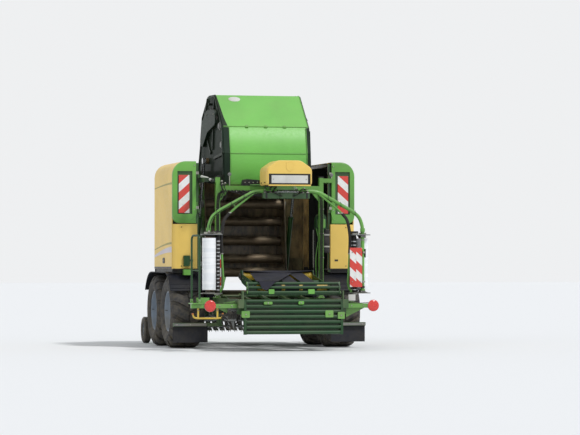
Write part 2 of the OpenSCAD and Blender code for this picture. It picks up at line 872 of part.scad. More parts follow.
// Cover over the rotor's drive
module hub_cover() {
    s0 = cover_rear_st;
    s1 = cover_rear_st + cover_d;
    z1 = cover_z + cover_h;
    chamfer = 110;
    color(beige) placed() {
        difference() {
            translate([0, s1, 0]) rotate([90, 0, 0]) linear_extrude(cover_d) polygon([
                [-cover_half, cover_z], [cover_half, cover_z], [cover_half, z1 - chamfer],
                [cover_half - 160, z1], [-cover_half + 160, z1], [-cover_half, z1 - chamfer]
            ]);
            translate([0, s1 - cover_t, 0]) rotate([90, 0, 0])
                linear_extrude(cover_d - 2 * cover_t) polygon([
                    [-cover_half + cover_t, cover_z - 1], [cover_half - cover_t, cover_z - 1],
                    [cover_half - cover_t, z1 - chamfer - 4], [cover_half - 164, z1 - cover_t],
                    [-cover_half + 164, z1 - cover_t], [-cover_half + cover_t, z1 - chamfer - 4]
                ]);
            block([-gallows_half, s1 - 2 * cover_t, cover_z - 1], [gallows_half, s1 + 1, gallows_top]);
        }
    }
}

// Blank plate on the cover's rear face
module number_plate() {
    plate_d = 8;
    color(film_white) placed() translate([-plate_w / 2, cover_rear_st - plate_d, cover_z + 30])
        cube([plate_w, plate_d, plate_h]);
}

// Tubes behind the table over which the bale rolls down, before a sheet
module rear_ramp() {
    back = table_st - 70;
    sheet_st = back + 50;
    sheet_t = 6;
    color(dark_green) placed() {
        both_sides() across(ramp_half, rail_in) polygon([
            [back, ramp_low_z - 30], [back + 60, ramp_low_z - 30], [back + 90, rail_z],
            [back + 90, rail_top], [back + 20, rail_top], [back, rail_z]
        ]);
        for (i = [0 : ramp_count - 1]) {
            cross_bar(-ramp_half - 1, ramp_half + 1, back + 30, ramp_low_z + i * ramp_pitch, ramp_r);
        }
        block([-ramp_half - 1, sheet_st, ramp_low_z], [ramp_half + 1, sheet_st + sheet_t, rail_top - 20]);
    }
}

// Tubes that carry the rear lamps, and the plate under the guard hoop
module lamp_brackets() {
    color(green) placed() {
        block([-guard_out, lamp_st, rail_z], [-rail_out, lamp_st + lamp_tube, rail_z + lamp_tube]);
        block([rail_out, lamp_st, rail_z], [lamp_x + lamp_tube / 2, lamp_st + lamp_tube, rail_z + lamp_tube]);
        block([-guard_out, lamp_st - 90, rail_z + lamp_tube - 1], [-guard_out + 150, lamp_st + 200, hoop_z]);
    }
}

// Round rear lamps
module lamps() {
    color(red) placed() both_sides()
        translate([lamp_x, lamp_st, rail_z + lamp_tube / 2]) rotate([90, 0, 0])
            cylinder(r = lamp_r, h = lamp_t);
}

// Tube hoop that guards the left side of the rotor
module guard_hoop() {
    a = [-guard_out + 40, lamp_st + 180, hoop_z];
    b = [-guard_out + 100, lamp_st - 70, hoop_z];
    top = [0, 0, hoop_h];
    color(black) placed() {
        rod_between(a, a + top, hoop_r);
        rod_between(b, b + top, hoop_r);
        rod_between(a + top, b + top, hoop_r);
        translate(a + top) sphere(r = hoop_r + 0.5);
        translate(b + top) sphere(r = hoop_r + 0.5);
    }
}

// Curved marker bar under the left lamp tube
module marker_bar() {
    color(yellow) placed() {
        translate([0, -340, 0]) rotate([90, 0, 0]) linear_extrude(30) polygon([
            [-1400, 530], [-1390, 470], [-1330, 450], [-1040, 450], [-980, 470], [-970, 530],
            [-990, 530], [-1000, 485], [-1045, 472], [-1325, 472], [-1370, 485], [-1380, 530]
        ]);
        for (x = [-1330, -1060]) {
            block([x, -365, 465], [x + 20, -345, rail_z]);
        }
    }
}

// Valve block beside the left rail
module valve_block() {
    color(grey) placed() {
        block([-900, -330, 420], [-rail_out, -180, rail_z]);
        block([-860, -300, 300], [-rail_out - 20, -220, 421]);
    }
}

// Inner leg and foot of the parking jack
module jack_leg() {
    half = jack_w / 2;
    color(grey) placed() {
        block(
            [jack_x - half, jack_st - half, foot_t - 1],
            [jack_x + half, jack_st + half, foot_t - 1 + jack_len]
        );
        translate([jack_x, jack_st, 0]) cylinder(r = foot_r, h = foot_t);
    }
}

// Tyre in its own frame, axis along X through the origin. Its rings stand at the starts and ends of the
// tread blocks, whose outer ends trail their middles
module tyre_form() {
    seat = rim_d / 2 + 3;
    r = tyre_d / 2;
    h = tyre_w / 2;
    base = r - lug_depth;
    // Half of the profile from the seat to the middle: width, radius on a block, radius in a groove
    half = [
        [h - 50, seat, seat], [h, seat + 100, seat + 100], [h - 14, r - 70, r - 74],
        [h - 42, r - 20, base - 20], [h - 90, r, base]
    ];
    profile = concat(
        [for (p = half) [-p[0], p[1], p[2]]], [[0, r, base]],
        [for (i = [len(half) - 1 : -1 : 0]) half[i]]
    );
    // Turn as a share of the pitch, and whether it lies on a block
    steps = [[0, 1], [0.66, 1], [0.72, 0], [0.94, 0]];
    n = len(profile);
    turns = lug_count * len(steps);
    points = [
        for (i = [0 : lug_count - 1]) for (s = steps) for (p = profile)
            let (a = (i + s[0]) * 360 / lug_count + lug_sweep * abs(p[0]) / h, d = s[1] == 1 ? p[1] : p[2])
            [p[0], d * sin(a), d * cos(a)]
    ];
    faces = [
        for (i = [0 : turns - 1]) for (k = [0 : n - 1])
            let (j = (i + 1) % turns, m = (k + 1) % n)
            [i * n + k, j * n + k, j * n + m, i * n + m]
    ];
    polyhedron(points = points, faces = faces);
}

// Rim with its disc and hub, outer side towards +X
module rim_form() {
    r = rim_d / 2 - fit;
    h = rim_w / 2;
    rotate([0, 90, 0]) {
        difference() {
            union() {
                difference() {
                    translate([0, 0, -h]) cylinder(r = r, h = 2 * h);
                    translate([0, 0, -h - 1]) cylinder(r = r - rim_t, h = 2 * h + 2);
                }
                translate([0, 0, 30]) cylinder(r = r - 1, h = 14);
                translate([0, 0, -120]) cylinder(r = hub_r, h = 120 + hub_out);
            }
            translate([0, 0, -121]) cylinder(r = spindle_r + fit, h = 121 + hub_out - 10);
        }
    }
}

// Places a wheel piece on an axle; side is -1 for left and 1 for right
module on_axle(side, st) {
    placed() translate([side * track / 2, st, wheel_z]) mirror([side < 0 ? 1 : 0, 0, 0]) children();
}

module tyre_rear_left() {
    color(tyre_black) on_axle(-1, rear_axle_st) tyre_form();
}

module tyre_rear_right() {
    color(tyre_black) on_axle(1, rear_axle_st) tyre_form();
}

module tyre_front_left() {
    color(tyre_black) on_axle(-1, front_axle_st) tyre_form();
}

module tyre_front_right() {
    color(tyre_black) on_axle(1, front_axle_st) tyre_form();
}

module rim_rear_left() {
    color(rim_grey) on_axle(-1, rear_axle_st) rim_form();
}

module rim_rear_right() {
    color(rim_grey) on_axle(1, rear_axle_st) rim_form();
}

module rim_front_left() {
    color(rim_grey) on_axle(-1, front_axle_st) rim_form();
}

module rim_front_right() {
    color(rim_grey) on_axle(1, front_axle_st) rim_form();
}

// Pickup side plates, cross tubes, lifting arms and stubs of the gauge wheels
module pickup_frame() {
    side_in = reel_half + 10;
    tube_st = reel_st - 290;
    tube_z = reel_z + 205;
    color(green) placed() {
        both_sides() {
            difference() {
                across(side_in, side_in + 12) polygon([
                    [reel_st - 330, reel_z + 250], [reel_st + 150, reel_z + 310],
                    [reel_st + 270, reel_z + 150], [reel_st + 270, reel_z - 60],
                    [reel_st + 60, reel_z - 220], [reel_st - 180, reel_z - 200],
                    [reel_st - 330, reel_z + 100]
                ]);
                cross_bar(side_in - 1, side_in + 13, reel_st, reel_z, 30 + fit);
            }
            difference() {
                across(lift_arm_x, lift_arm_x + lift_arm_w) polygon([
                    [lift_st - 50, lift_z - 40], [lift_st - 50, lift_z + 30], [lift_st + 30, lift_z + 50],
                    [tube_st + 20, tube_z + 30], [tube_st + 20, tube_z - 30], [lift_st + 20, lift_z - 50]
                ]);
                cross_bar(lift_arm_x - 1, lift_arm_x + lift_arm_w + 1, lift_st, lift_z, cyl_pin_r + fit);
            }
            // Gauge wheel stub and its arm
            block([side_in + 11, gauge_st - 25, gauge_z - 25], [side_in + 40, gauge_st + 25, reel_z + 60]);
            cross_bar(side_in + 39, gauge_x + 20, gauge_st, gauge_z, pin_r);
        }
        cross_bar(-side_in, side_in, tube_st, tube_z, 40);
        cross_bar(-side_in, side_in, reel_st + 60, reel_z + 310, 22);
    }
}

// Reel with its tine bars, end discs and tines
module pickup_reel() {
    disc_t = 8;
    disc_r = tine_bar_ring + tine_bar_r + 8;
    pitch = (2 * reel_half - 120) / (tine_count - 1);
    color(steel) placed() translate([0, reel_st, reel_z]) {
        cross_bar(-reel_half, reel_half, 0, 0, reel_tube_r);
        both_sides() {
            cross_bar(reel_half - 1, reel_half + 24, 0, 0, 30);
            cross_bar(reel_half - disc_t, reel_half, 0, 0, disc_r);
        }
        cross_bar(-disc_t / 2, disc_t / 2, 0, 0, disc_r);
        for (i = [0 : tine_bars - 1]) rotate([360 * i / tine_bars, 0, 0]) {
            cross_bar(-reel_half + 1, reel_half - 1, 0, tine_bar_ring, tine_bar_r);
            for (k = [0 : tine_count - 1]) {
                x = -reel_half + 60 + k * pitch;
                block([x - tine_w / 2, -tine_w / 2, tine_bar_ring], [x + tine_w / 2, tine_w / 2, tine_tip_r]);
            }
        }
    }
}

// Gauge wheel in its own frame
module gauge_form() {
    rotate([0, 90, 0]) difference() {
        union() {
            rotate_extrude() polygon([
                [60, -gauge_w / 2 + 20], [gauge_d / 2 - 15, -gauge_w / 2], [gauge_d / 2, -gauge_w / 2 + 20],
                [gauge_d / 2, gauge_w / 2 - 20], [gauge_d / 2 - 15, gauge_w / 2], [60, gauge_w / 2 - 20]
            ]);
            translate([0, 0, -gauge_w / 2 + 10]) cylinder(r = 61, h = gauge_w - 20);
        }
        translate([0, 0, -gauge_w]) cylinder(r = pin_r + fit, h = gauge_w + 20 + fit);
    }
}

module gauge_wheel_left() {
    color(tyre_black) placed() translate([-gauge_x, gauge_st, gauge_z]) mirror([1, 0, 0]) gauge_form();
}

module gauge_wheel_right() {
    color(tyre_black) placed() translate([gauge_x, gauge_st, gauge_z]) gauge_form();
}

// Turns a piece given in the closed place of the tailgate to its open place
module gate_pose() {
    translate([0, hinge_st, hinge_z]) rotate([-gate_open, 0, 0])
        translate([0, -hinge_st, -hinge_z]) children();
}

// Raised tailgate with side plates and outer skin
module tailgate() {
    color(green) placed() {
        gate_pose() {
            both_sides() {
                difference() {
                    across(gate_x, gate_out) polygon(gate_outline);
                    cross_bar(gate_x - 1, gate_out + 1, hinge_st, hinge_z, hinge_r + fit);
                }
            }
            across(-gate_x - 1, gate_x + 1) polygon(skin_outline(gate_skin, chamber_mid, skin_t));
        }
        both_sides() cross_bar(gate_out - 1, cyl_x - cyl_eye_w / 2 - fit, eye_s, eye_h, boss_r);
    }
}

// Rollers inside the tailgate
module tailgate_rollers() {
    color(dusty) placed() gate_pose() {
        for (a = gate_roller_deg) {
            cross_bar(
                -gate_x, gate_x,
                chamber_st + roller_ring * cos(a), chamber_z + roller_ring * sin(a), roller_d / 2
            );
        }
    }
}

// Stands a cylinder piece, drawn upwards from the lower pin, at its place on the right
module cylinder_place() {
    translate([cyl_x, cyl_base_st, cyl_base_z]) rotate([cyl_tilt, 0, 0]) children();
}

module barrel_form() {
    bore_r = rod_r + 8;
    cylinder_place() {
        difference() {
            union() {
                rotate([0, 90, 0]) translate([0, 0, -cyl_eye_w / 2]) cylinder(r = boss_r, h = cyl_eye_w);
                translate([0, 0, 30]) cylinder(r = barrel_r, h = barrel_len - 30);
            }
            rotate([0, 90, 0]) translate([0, 0, -cyl_eye_w]) cylinder(r = cyl_pin_r + fit, h = 2 * cyl_eye_w);
            translate([0, 0, 80]) cylinder(r = bore_r, h = barrel_len - 120);
            translate([0, 0, barrel_len - 41]) cylinder(r = rod_r + fit, h = 50);
        }
    }
}

module rod_form() {
    cylinder_place() {
        translate([0, 0, cyl_len]) rotate([0, 90, 0]) translate([0, 0, -cyl_eye_w / 2])
            cylinder(r = boss_r, h = cyl_eye_w);
        translate([0, 0, cyl_len - rod_len]) cylinder(r = rod_r, h = rod_len - 20);
    }
}

module cylinder_barrel_left() {
    color(dark_green) placed() mirror([1, 0, 0]) barrel_form();
}

module cylinder_barrel_right() {
    color(dark_green) placed() barrel_form();
}

module cylinder_rod_left() {
    color(steel) placed() mirror([1, 0, 0]) rod_form();
}

module cylinder_rod_right() {
    color(steel) placed() rod_form();
}

// Repeats a piece of the rotor's right arm on the opposite arm
module both_arms() {
    children();
    rotate([0, 0, 180]) children();
}

// Hub and beam of the wrapping rotor
module wrap_rotor() {
    color(dark_green) placed() {
        block([-beam_half, -50, beam_z], [beam_half, 50, beam_z + beam_h]);
        translate([0, 0, beam_z]) cylinder(r = 120, h = beam_h + 34);
        translate([0, 0, beam_z + beam_h]) cylinder(r = hub_bore_r, h = cross_top - 8 - beam_z - beam_h);
    }
}

// Arm tubes, posts and safety bows
module wrap_arms() {
    color(green) placed() both_arms() {
        bent_tube(arm_route, arm_y, arm_r);
        bent_tube(bow_route, arm_y, bow_r, 8);
        translate([post_x, arm_y, unit_z + unit_t]) cylinder(r = arm_r, h = unit_h);
    }
}

// Plates, spindles and stretch rollers of the two film units
module film_units() {
    color(grey) placed() both_arms() {
        difference() {
            for (z = [unit_z, unit_top]) {
                translate([0, 0, z]) linear_extrude(unit_t) polygon(unit_outline);
            }
            // Notch of the upper plate round the safety bow
            block([900, arm_y - bow_r - 8, unit_top - 1], [942, arm_y + bow_r + 8, unit_top + unit_t + 1]);
        }
        translate([roll_x, roll_y, unit_z + unit_t - 1]) cylinder(r = core_r - fit, h = unit_h + 2);
        for (p = stretch_places) {
            translate([p[0], p[1], unit_z + unit_t - 1]) cylinder(r = stretch_r, h = unit_h + 2);
        }
    }
}

// Striped boards on the film units
module warning_boards() {
    color(red) placed() both_arms() {
        block([board_x, board_y - board_t, board_z], [board_x + board_w, board_y, board_z + board_h]);
        for (z = [board_z + 50, board_z + board_h - 90]) {
            block([post_x - 15, board_y, z], [post_x + 15, arm_y - arm_r - fit, z + 40]);
        }
    }
}

// Roll of stretch film on its spindle
module film_roll_form() {
    translate([roll_x, roll_y, roll_z]) difference() {
        cylinder(r = roll_r, h = roll_len);
        translate([0, 0, -1]) cylinder(r = core_r, h = roll_len + 2);
    }
}

module film_roll_right() {
    color(film_white) placed() film_roll_form();
}

module film_roll_left() {
    color(film_white) placed() rotate([0, 0, 180]) film_roll_form();
}

// Tilting frame of the wrapping table
module wrap_table() {
    side_t = 15;
    end_x = 640;
    hood_z = table_front_z + apron_lift + 8;
    // Tube places as station, height
    tubes = [[table_st - 20, table_z + 140], [table_st - 45, table_z + 85], [table_st - 58, table_z + 18]];
    color(dark_green) placed() {
        both_sides() {
            across(table_half, table_half + side_t) polygon([
                [table_st - 20, table_z - 30], [table_st - 20, table_z + 100],
                [table_rear_st, table_rear_z + 50], [table_front_st - 110, table_front_z + 25],
                [table_front_st - 80, hood_z], [table_front_st + 25, hood_z],
                [table_front_st + 45, table_front_z + 20],
                [table_front_st + 45, table_front_z - 30], [table_front_st - 60, table_front_z - 90],
                [table_rear_st + 100, table_rear_z - 90]
            ]);
            across(end_x, end_x + side_t) polygon([
                [table_st - 80, table_z + 10], [table_st - 68, table_z + 100], [table_st - 30, table_z + 162],
                [table_st, table_z + 162], [table_st + 30, table_z + 20], [table_st + 20, table_z - 30],
                [table_st - 40, table_z - 22]
            ]);
            cross_bar(rail_in - 12, rail_in + 18, table_st, table_z, pin_r);
        }
        cross_bar(-rail_in + 11, rail_in - 11, table_st, table_z, 25);
        for (p = tubes) {
            cross_bar(-end_x - 1, end_x + 1, p[0], p[1], tube_r);
        }
        cross_bar(
            -table_half - 1, table_half + 1,
            (table_front_st + table_rear_st) / 2, (table_front_z + table_rear_z) / 2, 25
        );
    }
}

// Front and rear rollers of the table
module table_rollers() {
    color(yellow) placed() {
        cross_bar(-table_half, table_half, table_front_st, table_front_z, table_roller_r);
        cross_bar(-table_half, table_half, table_rear_st, table_rear_z, table_roller_r);
    }
}

// Outline of a belt loop around both rollers, in station and height
module belt_outline(r) {
    hull() {
        translate([table_front_st, table_front_z]) circle(r = r);
        translate([table_rear_st, table_rear_z]) circle(r = r);
    }
}

// Belts around the table's rollers
module table_belts() {
    belt_w = 200;
    color(black) placed() {
        for (x = [-250, 0, 250]) {
            across(x - belt_w / 2, x + belt_w / 2) difference() {
                belt_outline(table_roller_r + fit + belt_t);
                belt_outline(table_roller_r + fit);
            }
        }
    }
}

// Rubber apron over the table's front roller
module transfer_apron() {
    lift = apron_lift;
    half = table_half - fit;
    st = table_front_st;
    z = table_front_z;
    slope = (table_front_z - table_rear_z) / (table_front_st - table_rear_st);
    rear_z = z + lift - 230 * slope + 3;
    color(black) placed() {
        intersection() {
            across(-half, half) polygon([
                [st - 230, rear_z + 8], [st - 20, z + lift + 4], [st + 34, z + lift + 4],
                [st + 96, z + 10], [st + 96, z - 50], [st + 90, z - 50], [st + 90, z + 8],
                [st + 31, z + lift - 4], [st - 18, z + lift - 4], [st - 230, rear_z]
            ]);
            translate([0, 0, z - 200]) linear_extrude(600) polygon([
                [-half, st + 100], [half, st + 100], [half, st - 30], [0, st - 240], [-half, st - 30]
            ]);
        }
    }
}

// Fork that lifts the bale from the chamber onto the table
module transfer_fork() {
    color(dark_green) placed() {
        cross_bar(-rail_in + 25, rail_in - 25, fork_st, fork_z, 35);
        both_sides() cross_bar(rail_in - 26, rail_in - 1, fork_st, fork_z, pin_r);
        for (i = [0 : fork_count - 1]) {
            x = -fork_half + 2 * fork_half * i / (fork_count - 1);
            rod_between([x, fork_st, fork_z + 10], [x, fork_st + fork_len, fork_z + fork_rise], 22);
        }
        cross_bar(-fork_half - 25, fork_half + 25, fork_st + fork_len - 60, fork_z + fork_rise - 5, 18);
    }
}

// Cross section of a side panel in X and Z, outer face moved inwards by t
module panel_section(t) {
    r = panel_corner_r - t;
    cx = panel_out - panel_corner_r;
    cz = panel_top_z - panel_corner_r;
    polygon(concat(
        [[panel_in - (t > 0 ? 1 : 0), panel_low_z - (t > 0 ? 1 : 0)]],
        [[panel_out - t, panel_low_z - (t > 0 ? 1 : 0)]],
        [for (a = [0 : 15 : 90]) [cx + r * cos(a), cz + r * sin(a)]],
        [[panel_in - (t > 0 ? 1 : 0), panel_top_z - t]]
    ));
}

// Side panel, hinged along its upper inner edge
module side_panel_form() {
    len_y = panel_front_st - panel_rear_st;
    half = knuckle_len / 2;
    difference() {
        translate([0, panel_front_st, 0]) rotate([90, 0, 0]) linear_extrude(len_y) panel_section(0);
        translate([0, panel_front_st - panel_t, 0]) rotate([90, 0, 0])
            linear_extrude(len_y) panel_section(panel_t);
        // Notches round the frame's knuckles
        for (st = knuckle_places) {
            block(
                [panel_in - 1, st + half, panel_axis_z - knuckle_r - notch],
                [panel_axis_x + knuckle_r + notch, st + knuckle_len + 2 * notch, panel_top_z + 1]
            );
        }
    }
    for (st = knuckle_places) {
        translate([panel_axis_x, st, panel_axis_z]) rotate([-90, 0, 0]) cylinder(r = knuckle_r, h = half);
        block([panel_axis_x, st, panel_axis_z], [panel_in + 1, st + half, panel_axis_z + 8]);
    }
}

module side_panel_left() {
    color(beige) placed() mirror([1, 0, 0]) side_panel_form();
}

module side_panel_right() {
    color(beige) placed() side_panel_form();
}

// Rear cover, hinged along its inner edge
module rear_cover_form() {
    r = hood_corner_r;
    // Round lower outer corner
    corner = [for (a = [-90 : 15 : 0]) [panel_out - r * (1 - cos(a)), hood_low_z + r * (1 + sin(a))]];
    lower = concat([[0, panel_top_z + 1], [0, hood_low_z]], corner, [[panel_out, panel_top_z + 1]]);
    translate([0, hood_rear_st + hood_t, 0]) rotate([90, 0, 0]) linear_extrude(hood_t) intersection() {
        panel_section(0);
        polygon(lower);
    }
    for (z = cover_knuckle_places) {
        translate([cover_axis_x, cover_axis_st, z + 50 + fit]) cylinder(r = knuckle_r, h = 40);
        block([cover_axis_x, cover_axis_st, z + 50 + fit], [panel_in + 1, cover_axis_st + 8, z + 90 + fit]);
    }
}

module rear_cover_left() {
    color(green) placed() mirror([1, 0, 0]) rear_cover_form();
}

module rear_cover_right() {
    color(green) placed() rear_cover_form();
}

chassis_frame();
drawbar();
tow_eye();
gearbox();
infeed_housing();
axles();
chamber_front();
chamber_rollers();
binding_box();
side_frames();
rear_boxes();
mudguards();
mudflaps();
wrap_portal();
hub_cover();
number_plate();
rear_ramp();
lamp_brackets();
lamps();
guard_hoop();
marker_bar();
valve_block();
jack_leg();
tyre_rear_left();
tyre_rear_right();
tyre_front_left();
tyre_front_right();
rim_rear_left();
rim_rear_right();
rim_front_left();
rim_front_right();
pickup_frame();
pickup_reel();
gauge_wheel_left();
gauge_wheel_right();
tailgate();
tailgate_rollers();
cylinder_barrel_left();
cylinder_barrel_right();
cylinder_rod_left();
cylinder_rod_right();
wrap_rotor();
wrap_arms();
film_units();
warning_boards();
film_roll_left();
film_roll_right();
wrap_table();
table_rollers();
table_belts();
transfer_apron();
transfer_fork();
side_panel_left();
side_panel_right();
rear_cover_left();
rear_cover_right();
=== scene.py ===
"""Looks of a towed round baler with bale wrapper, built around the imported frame.

Lengths are metres. X points to the machine's right, Y is the driving direction, Z is up.
A station is a place along Y measured from the axis of the wrapping rotor, and forms are drawn
with stations in place of Y.
"""

import math
import random

import bmesh
import bpy
from mathutils import Matrix, Vector


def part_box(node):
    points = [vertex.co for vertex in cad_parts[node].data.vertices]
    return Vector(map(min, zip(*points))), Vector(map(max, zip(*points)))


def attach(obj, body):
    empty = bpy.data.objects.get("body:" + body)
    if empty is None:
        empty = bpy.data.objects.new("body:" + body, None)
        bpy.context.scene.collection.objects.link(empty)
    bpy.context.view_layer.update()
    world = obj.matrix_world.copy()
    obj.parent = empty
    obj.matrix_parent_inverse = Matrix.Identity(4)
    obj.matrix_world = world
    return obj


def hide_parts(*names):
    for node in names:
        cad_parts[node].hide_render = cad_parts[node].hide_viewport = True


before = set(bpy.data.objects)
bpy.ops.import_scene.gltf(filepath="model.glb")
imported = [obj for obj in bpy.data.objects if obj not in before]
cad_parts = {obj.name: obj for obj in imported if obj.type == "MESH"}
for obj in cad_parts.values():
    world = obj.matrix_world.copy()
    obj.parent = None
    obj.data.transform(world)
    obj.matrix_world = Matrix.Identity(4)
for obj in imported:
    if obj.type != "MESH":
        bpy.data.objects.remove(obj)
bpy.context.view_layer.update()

ROTOR_LOW, ROTOR_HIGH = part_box("wrap_rotor")
AXIS_Y = (ROTOR_LOW.y + ROTOR_HIGH.y) / 2
STATIONS = Matrix.Translation((0, AXIS_Y, 0))
MIRROR = Matrix.Scale(-1, 4, (1, 0, 0))
HALF_TURN = Matrix.Rotation(math.pi, 4, "Z")
SIDES = (("left", -1), ("right", 1))


def span(node):
    """Lowest and highest corner of a CAD node, with stations in place of Y."""
    low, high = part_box(node)
    shift = Vector((0, AXIS_Y, 0))
    return low - shift, high - shift


def at(x, station, z):
    """Point of the frame given by its station."""
    return Vector((x, AXIS_Y + station, z))


def sided(side):
    """Place of a form that is drawn for the right side."""
    return MIRROR if side < 0 else Matrix.Identity(4)


def placed(name, data):
    """New object in the scene."""
    made = bpy.data.objects.new(name, data)
    bpy.context.scene.collection.objects.link(made)
    return made


# Camera, light and floor

PHOTO_WIDTH = 580
PHOTO_HEIGHT = 435
# The photograph's camera, from its horizon and the sizes of plate, film rolls and bale
FOCAL_PIXELS = 2720
HORIZON_ROW = 266
HUB_COLUMN = 286
CAMERA_DISTANCE = 38.0
CAMERA_TURN = math.radians(13)
CAMERA_HEIGHT = 1.18
SENSOR = 36.0
FAR = 500
SKY = (0.93, 0.96, 1, 1)
SKY_STRENGTH = 0.55
BACKDROP = (0.86, 0.87, 0.88, 1)
FLOOR_COLOUR = (0.82, 0.83, 0.84, 1)
FLOOR_ROUGHNESS = 0.9
# Name, strength, softness in degrees, turn and height of each sun
SUNS = (("key", 1.9, 6, 38, 52), ("fill", 0.3, 40, -55, 30))
FLOOR_HALF = 150


def make_camera():
    """The photograph's camera, level apart from the shift to its horizon."""
    data = bpy.data.cameras.new("camera")
    data.sensor_width = SENSOR
    data.lens = SENSOR * FOCAL_PIXELS / PHOTO_WIDTH
    data.clip_end = FAR
    camera = placed("camera", data)
    to_left, to_rear = CAMERA_DISTANCE * math.sin(CAMERA_TURN), CAMERA_DISTANCE * math.cos(CAMERA_TURN)
    camera.location = at(-to_left, -to_rear, CAMERA_HEIGHT)
    pitch = math.atan((HORIZON_ROW - PHOTO_HEIGHT / 2) / FOCAL_PIXELS)
    yaw = CAMERA_TURN + math.atan((PHOTO_WIDTH / 2 - HUB_COLUMN) / FOCAL_PIXELS)
    camera.rotation_euler = (math.pi / 2 + pitch, 0, -yaw)
    bpy.context.scene.camera = camera


def make_light():
    """Soft daylight; the camera, mirrors and glass see a pale backdrop instead of the sky's colour."""
    world = bpy.data.worlds.new("studio")
    bpy.context.scene.world = world
    world.use_nodes = True
    tree = world.node_tree
    tree.nodes.clear()
    out, mix, soft, pale, path = (tree.nodes.new("ShaderNode" + kind) for kind in (
        "OutputWorld", "MixShader", "Background", "Background", "LightPath"))
    for backdrop, colour, strength in ((soft, SKY, SKY_STRENGTH), (pale, BACKDROP, 1)):
        backdrop.inputs["Color"].default_value = colour
        backdrop.inputs["Strength"].default_value = strength
    seen = path.outputs["Is Camera Ray"]
    for ray in ("Is Transmission Ray", "Is Glossy Ray"):
        either = tree.nodes.new("ShaderNodeMath")
        either.operation = "MAXIMUM"
        tree.links.new(seen, either.inputs[0])
        tree.links.new(path.outputs[ray], either.inputs[1])
        seen = either.outputs[0]
    for i, socket in enumerate((seen, soft.outputs[0], pale.outputs[0])):
        tree.links.new(socket, mix.inputs[i])
    tree.links.new(mix.outputs[0], out.inputs[0])
    for name, power, softness, turn, height in SUNS:
        sun = bpy.data.lights.new(name, "SUN")
        sun.energy = power
        sun.angle = math.radians(softness)
        placed(name, sun).rotation_euler = (math.radians(90 - height), 0, math.radians(turn))


def make_floor():
    """Large pale floor."""
    mesh = bpy.data.meshes.new("floor")
    square = rectangle(-FLOOR_HALF, -FLOOR_HALF, FLOOR_HALF, FLOOR_HALF)
    mesh.from_pydata([(x, y, 0) for x, y in square], [], [(0, 1, 2, 3)])
    material = bpy.data.materials.new("floor")
    material.use_nodes = True
    shader = material.node_tree.nodes["Principled BSDF"]
    shader.inputs["Base Color"].default_value = FLOOR_COLOUR
    shader.inputs["Roughness"].default_value = FLOOR_ROUGHNESS
    mesh.materials.append(material)
    floor = placed("floor", mesh)


# Materials

def shade(red, green, blue):
    """Linear colour of a screen colour given in steps of 0 to 255."""
    def linear(step):
        value = step / 255
        return value / 12.92 if value <= 0.04045 else ((value + 0.055) / 1.055) ** 2.4
    return (linear(red), linear(green), linear(blue), 1)


def lit(colour, gain):
    """Colour made brighter or darker by a gain."""
    return tuple(min(1, c * gain) for c in colour[:3]) + (1,)


DUST = shade(150, 138, 112)
# Dark colour that ambient occlusion lays into corners: grime and painted shade together
GRIME_AND_SHADE = shade(38, 34, 28)
BARE_STEEL = shade(120, 116, 110)
# How far worn paint reaches from an edge
EDGE_REACH = 0.005


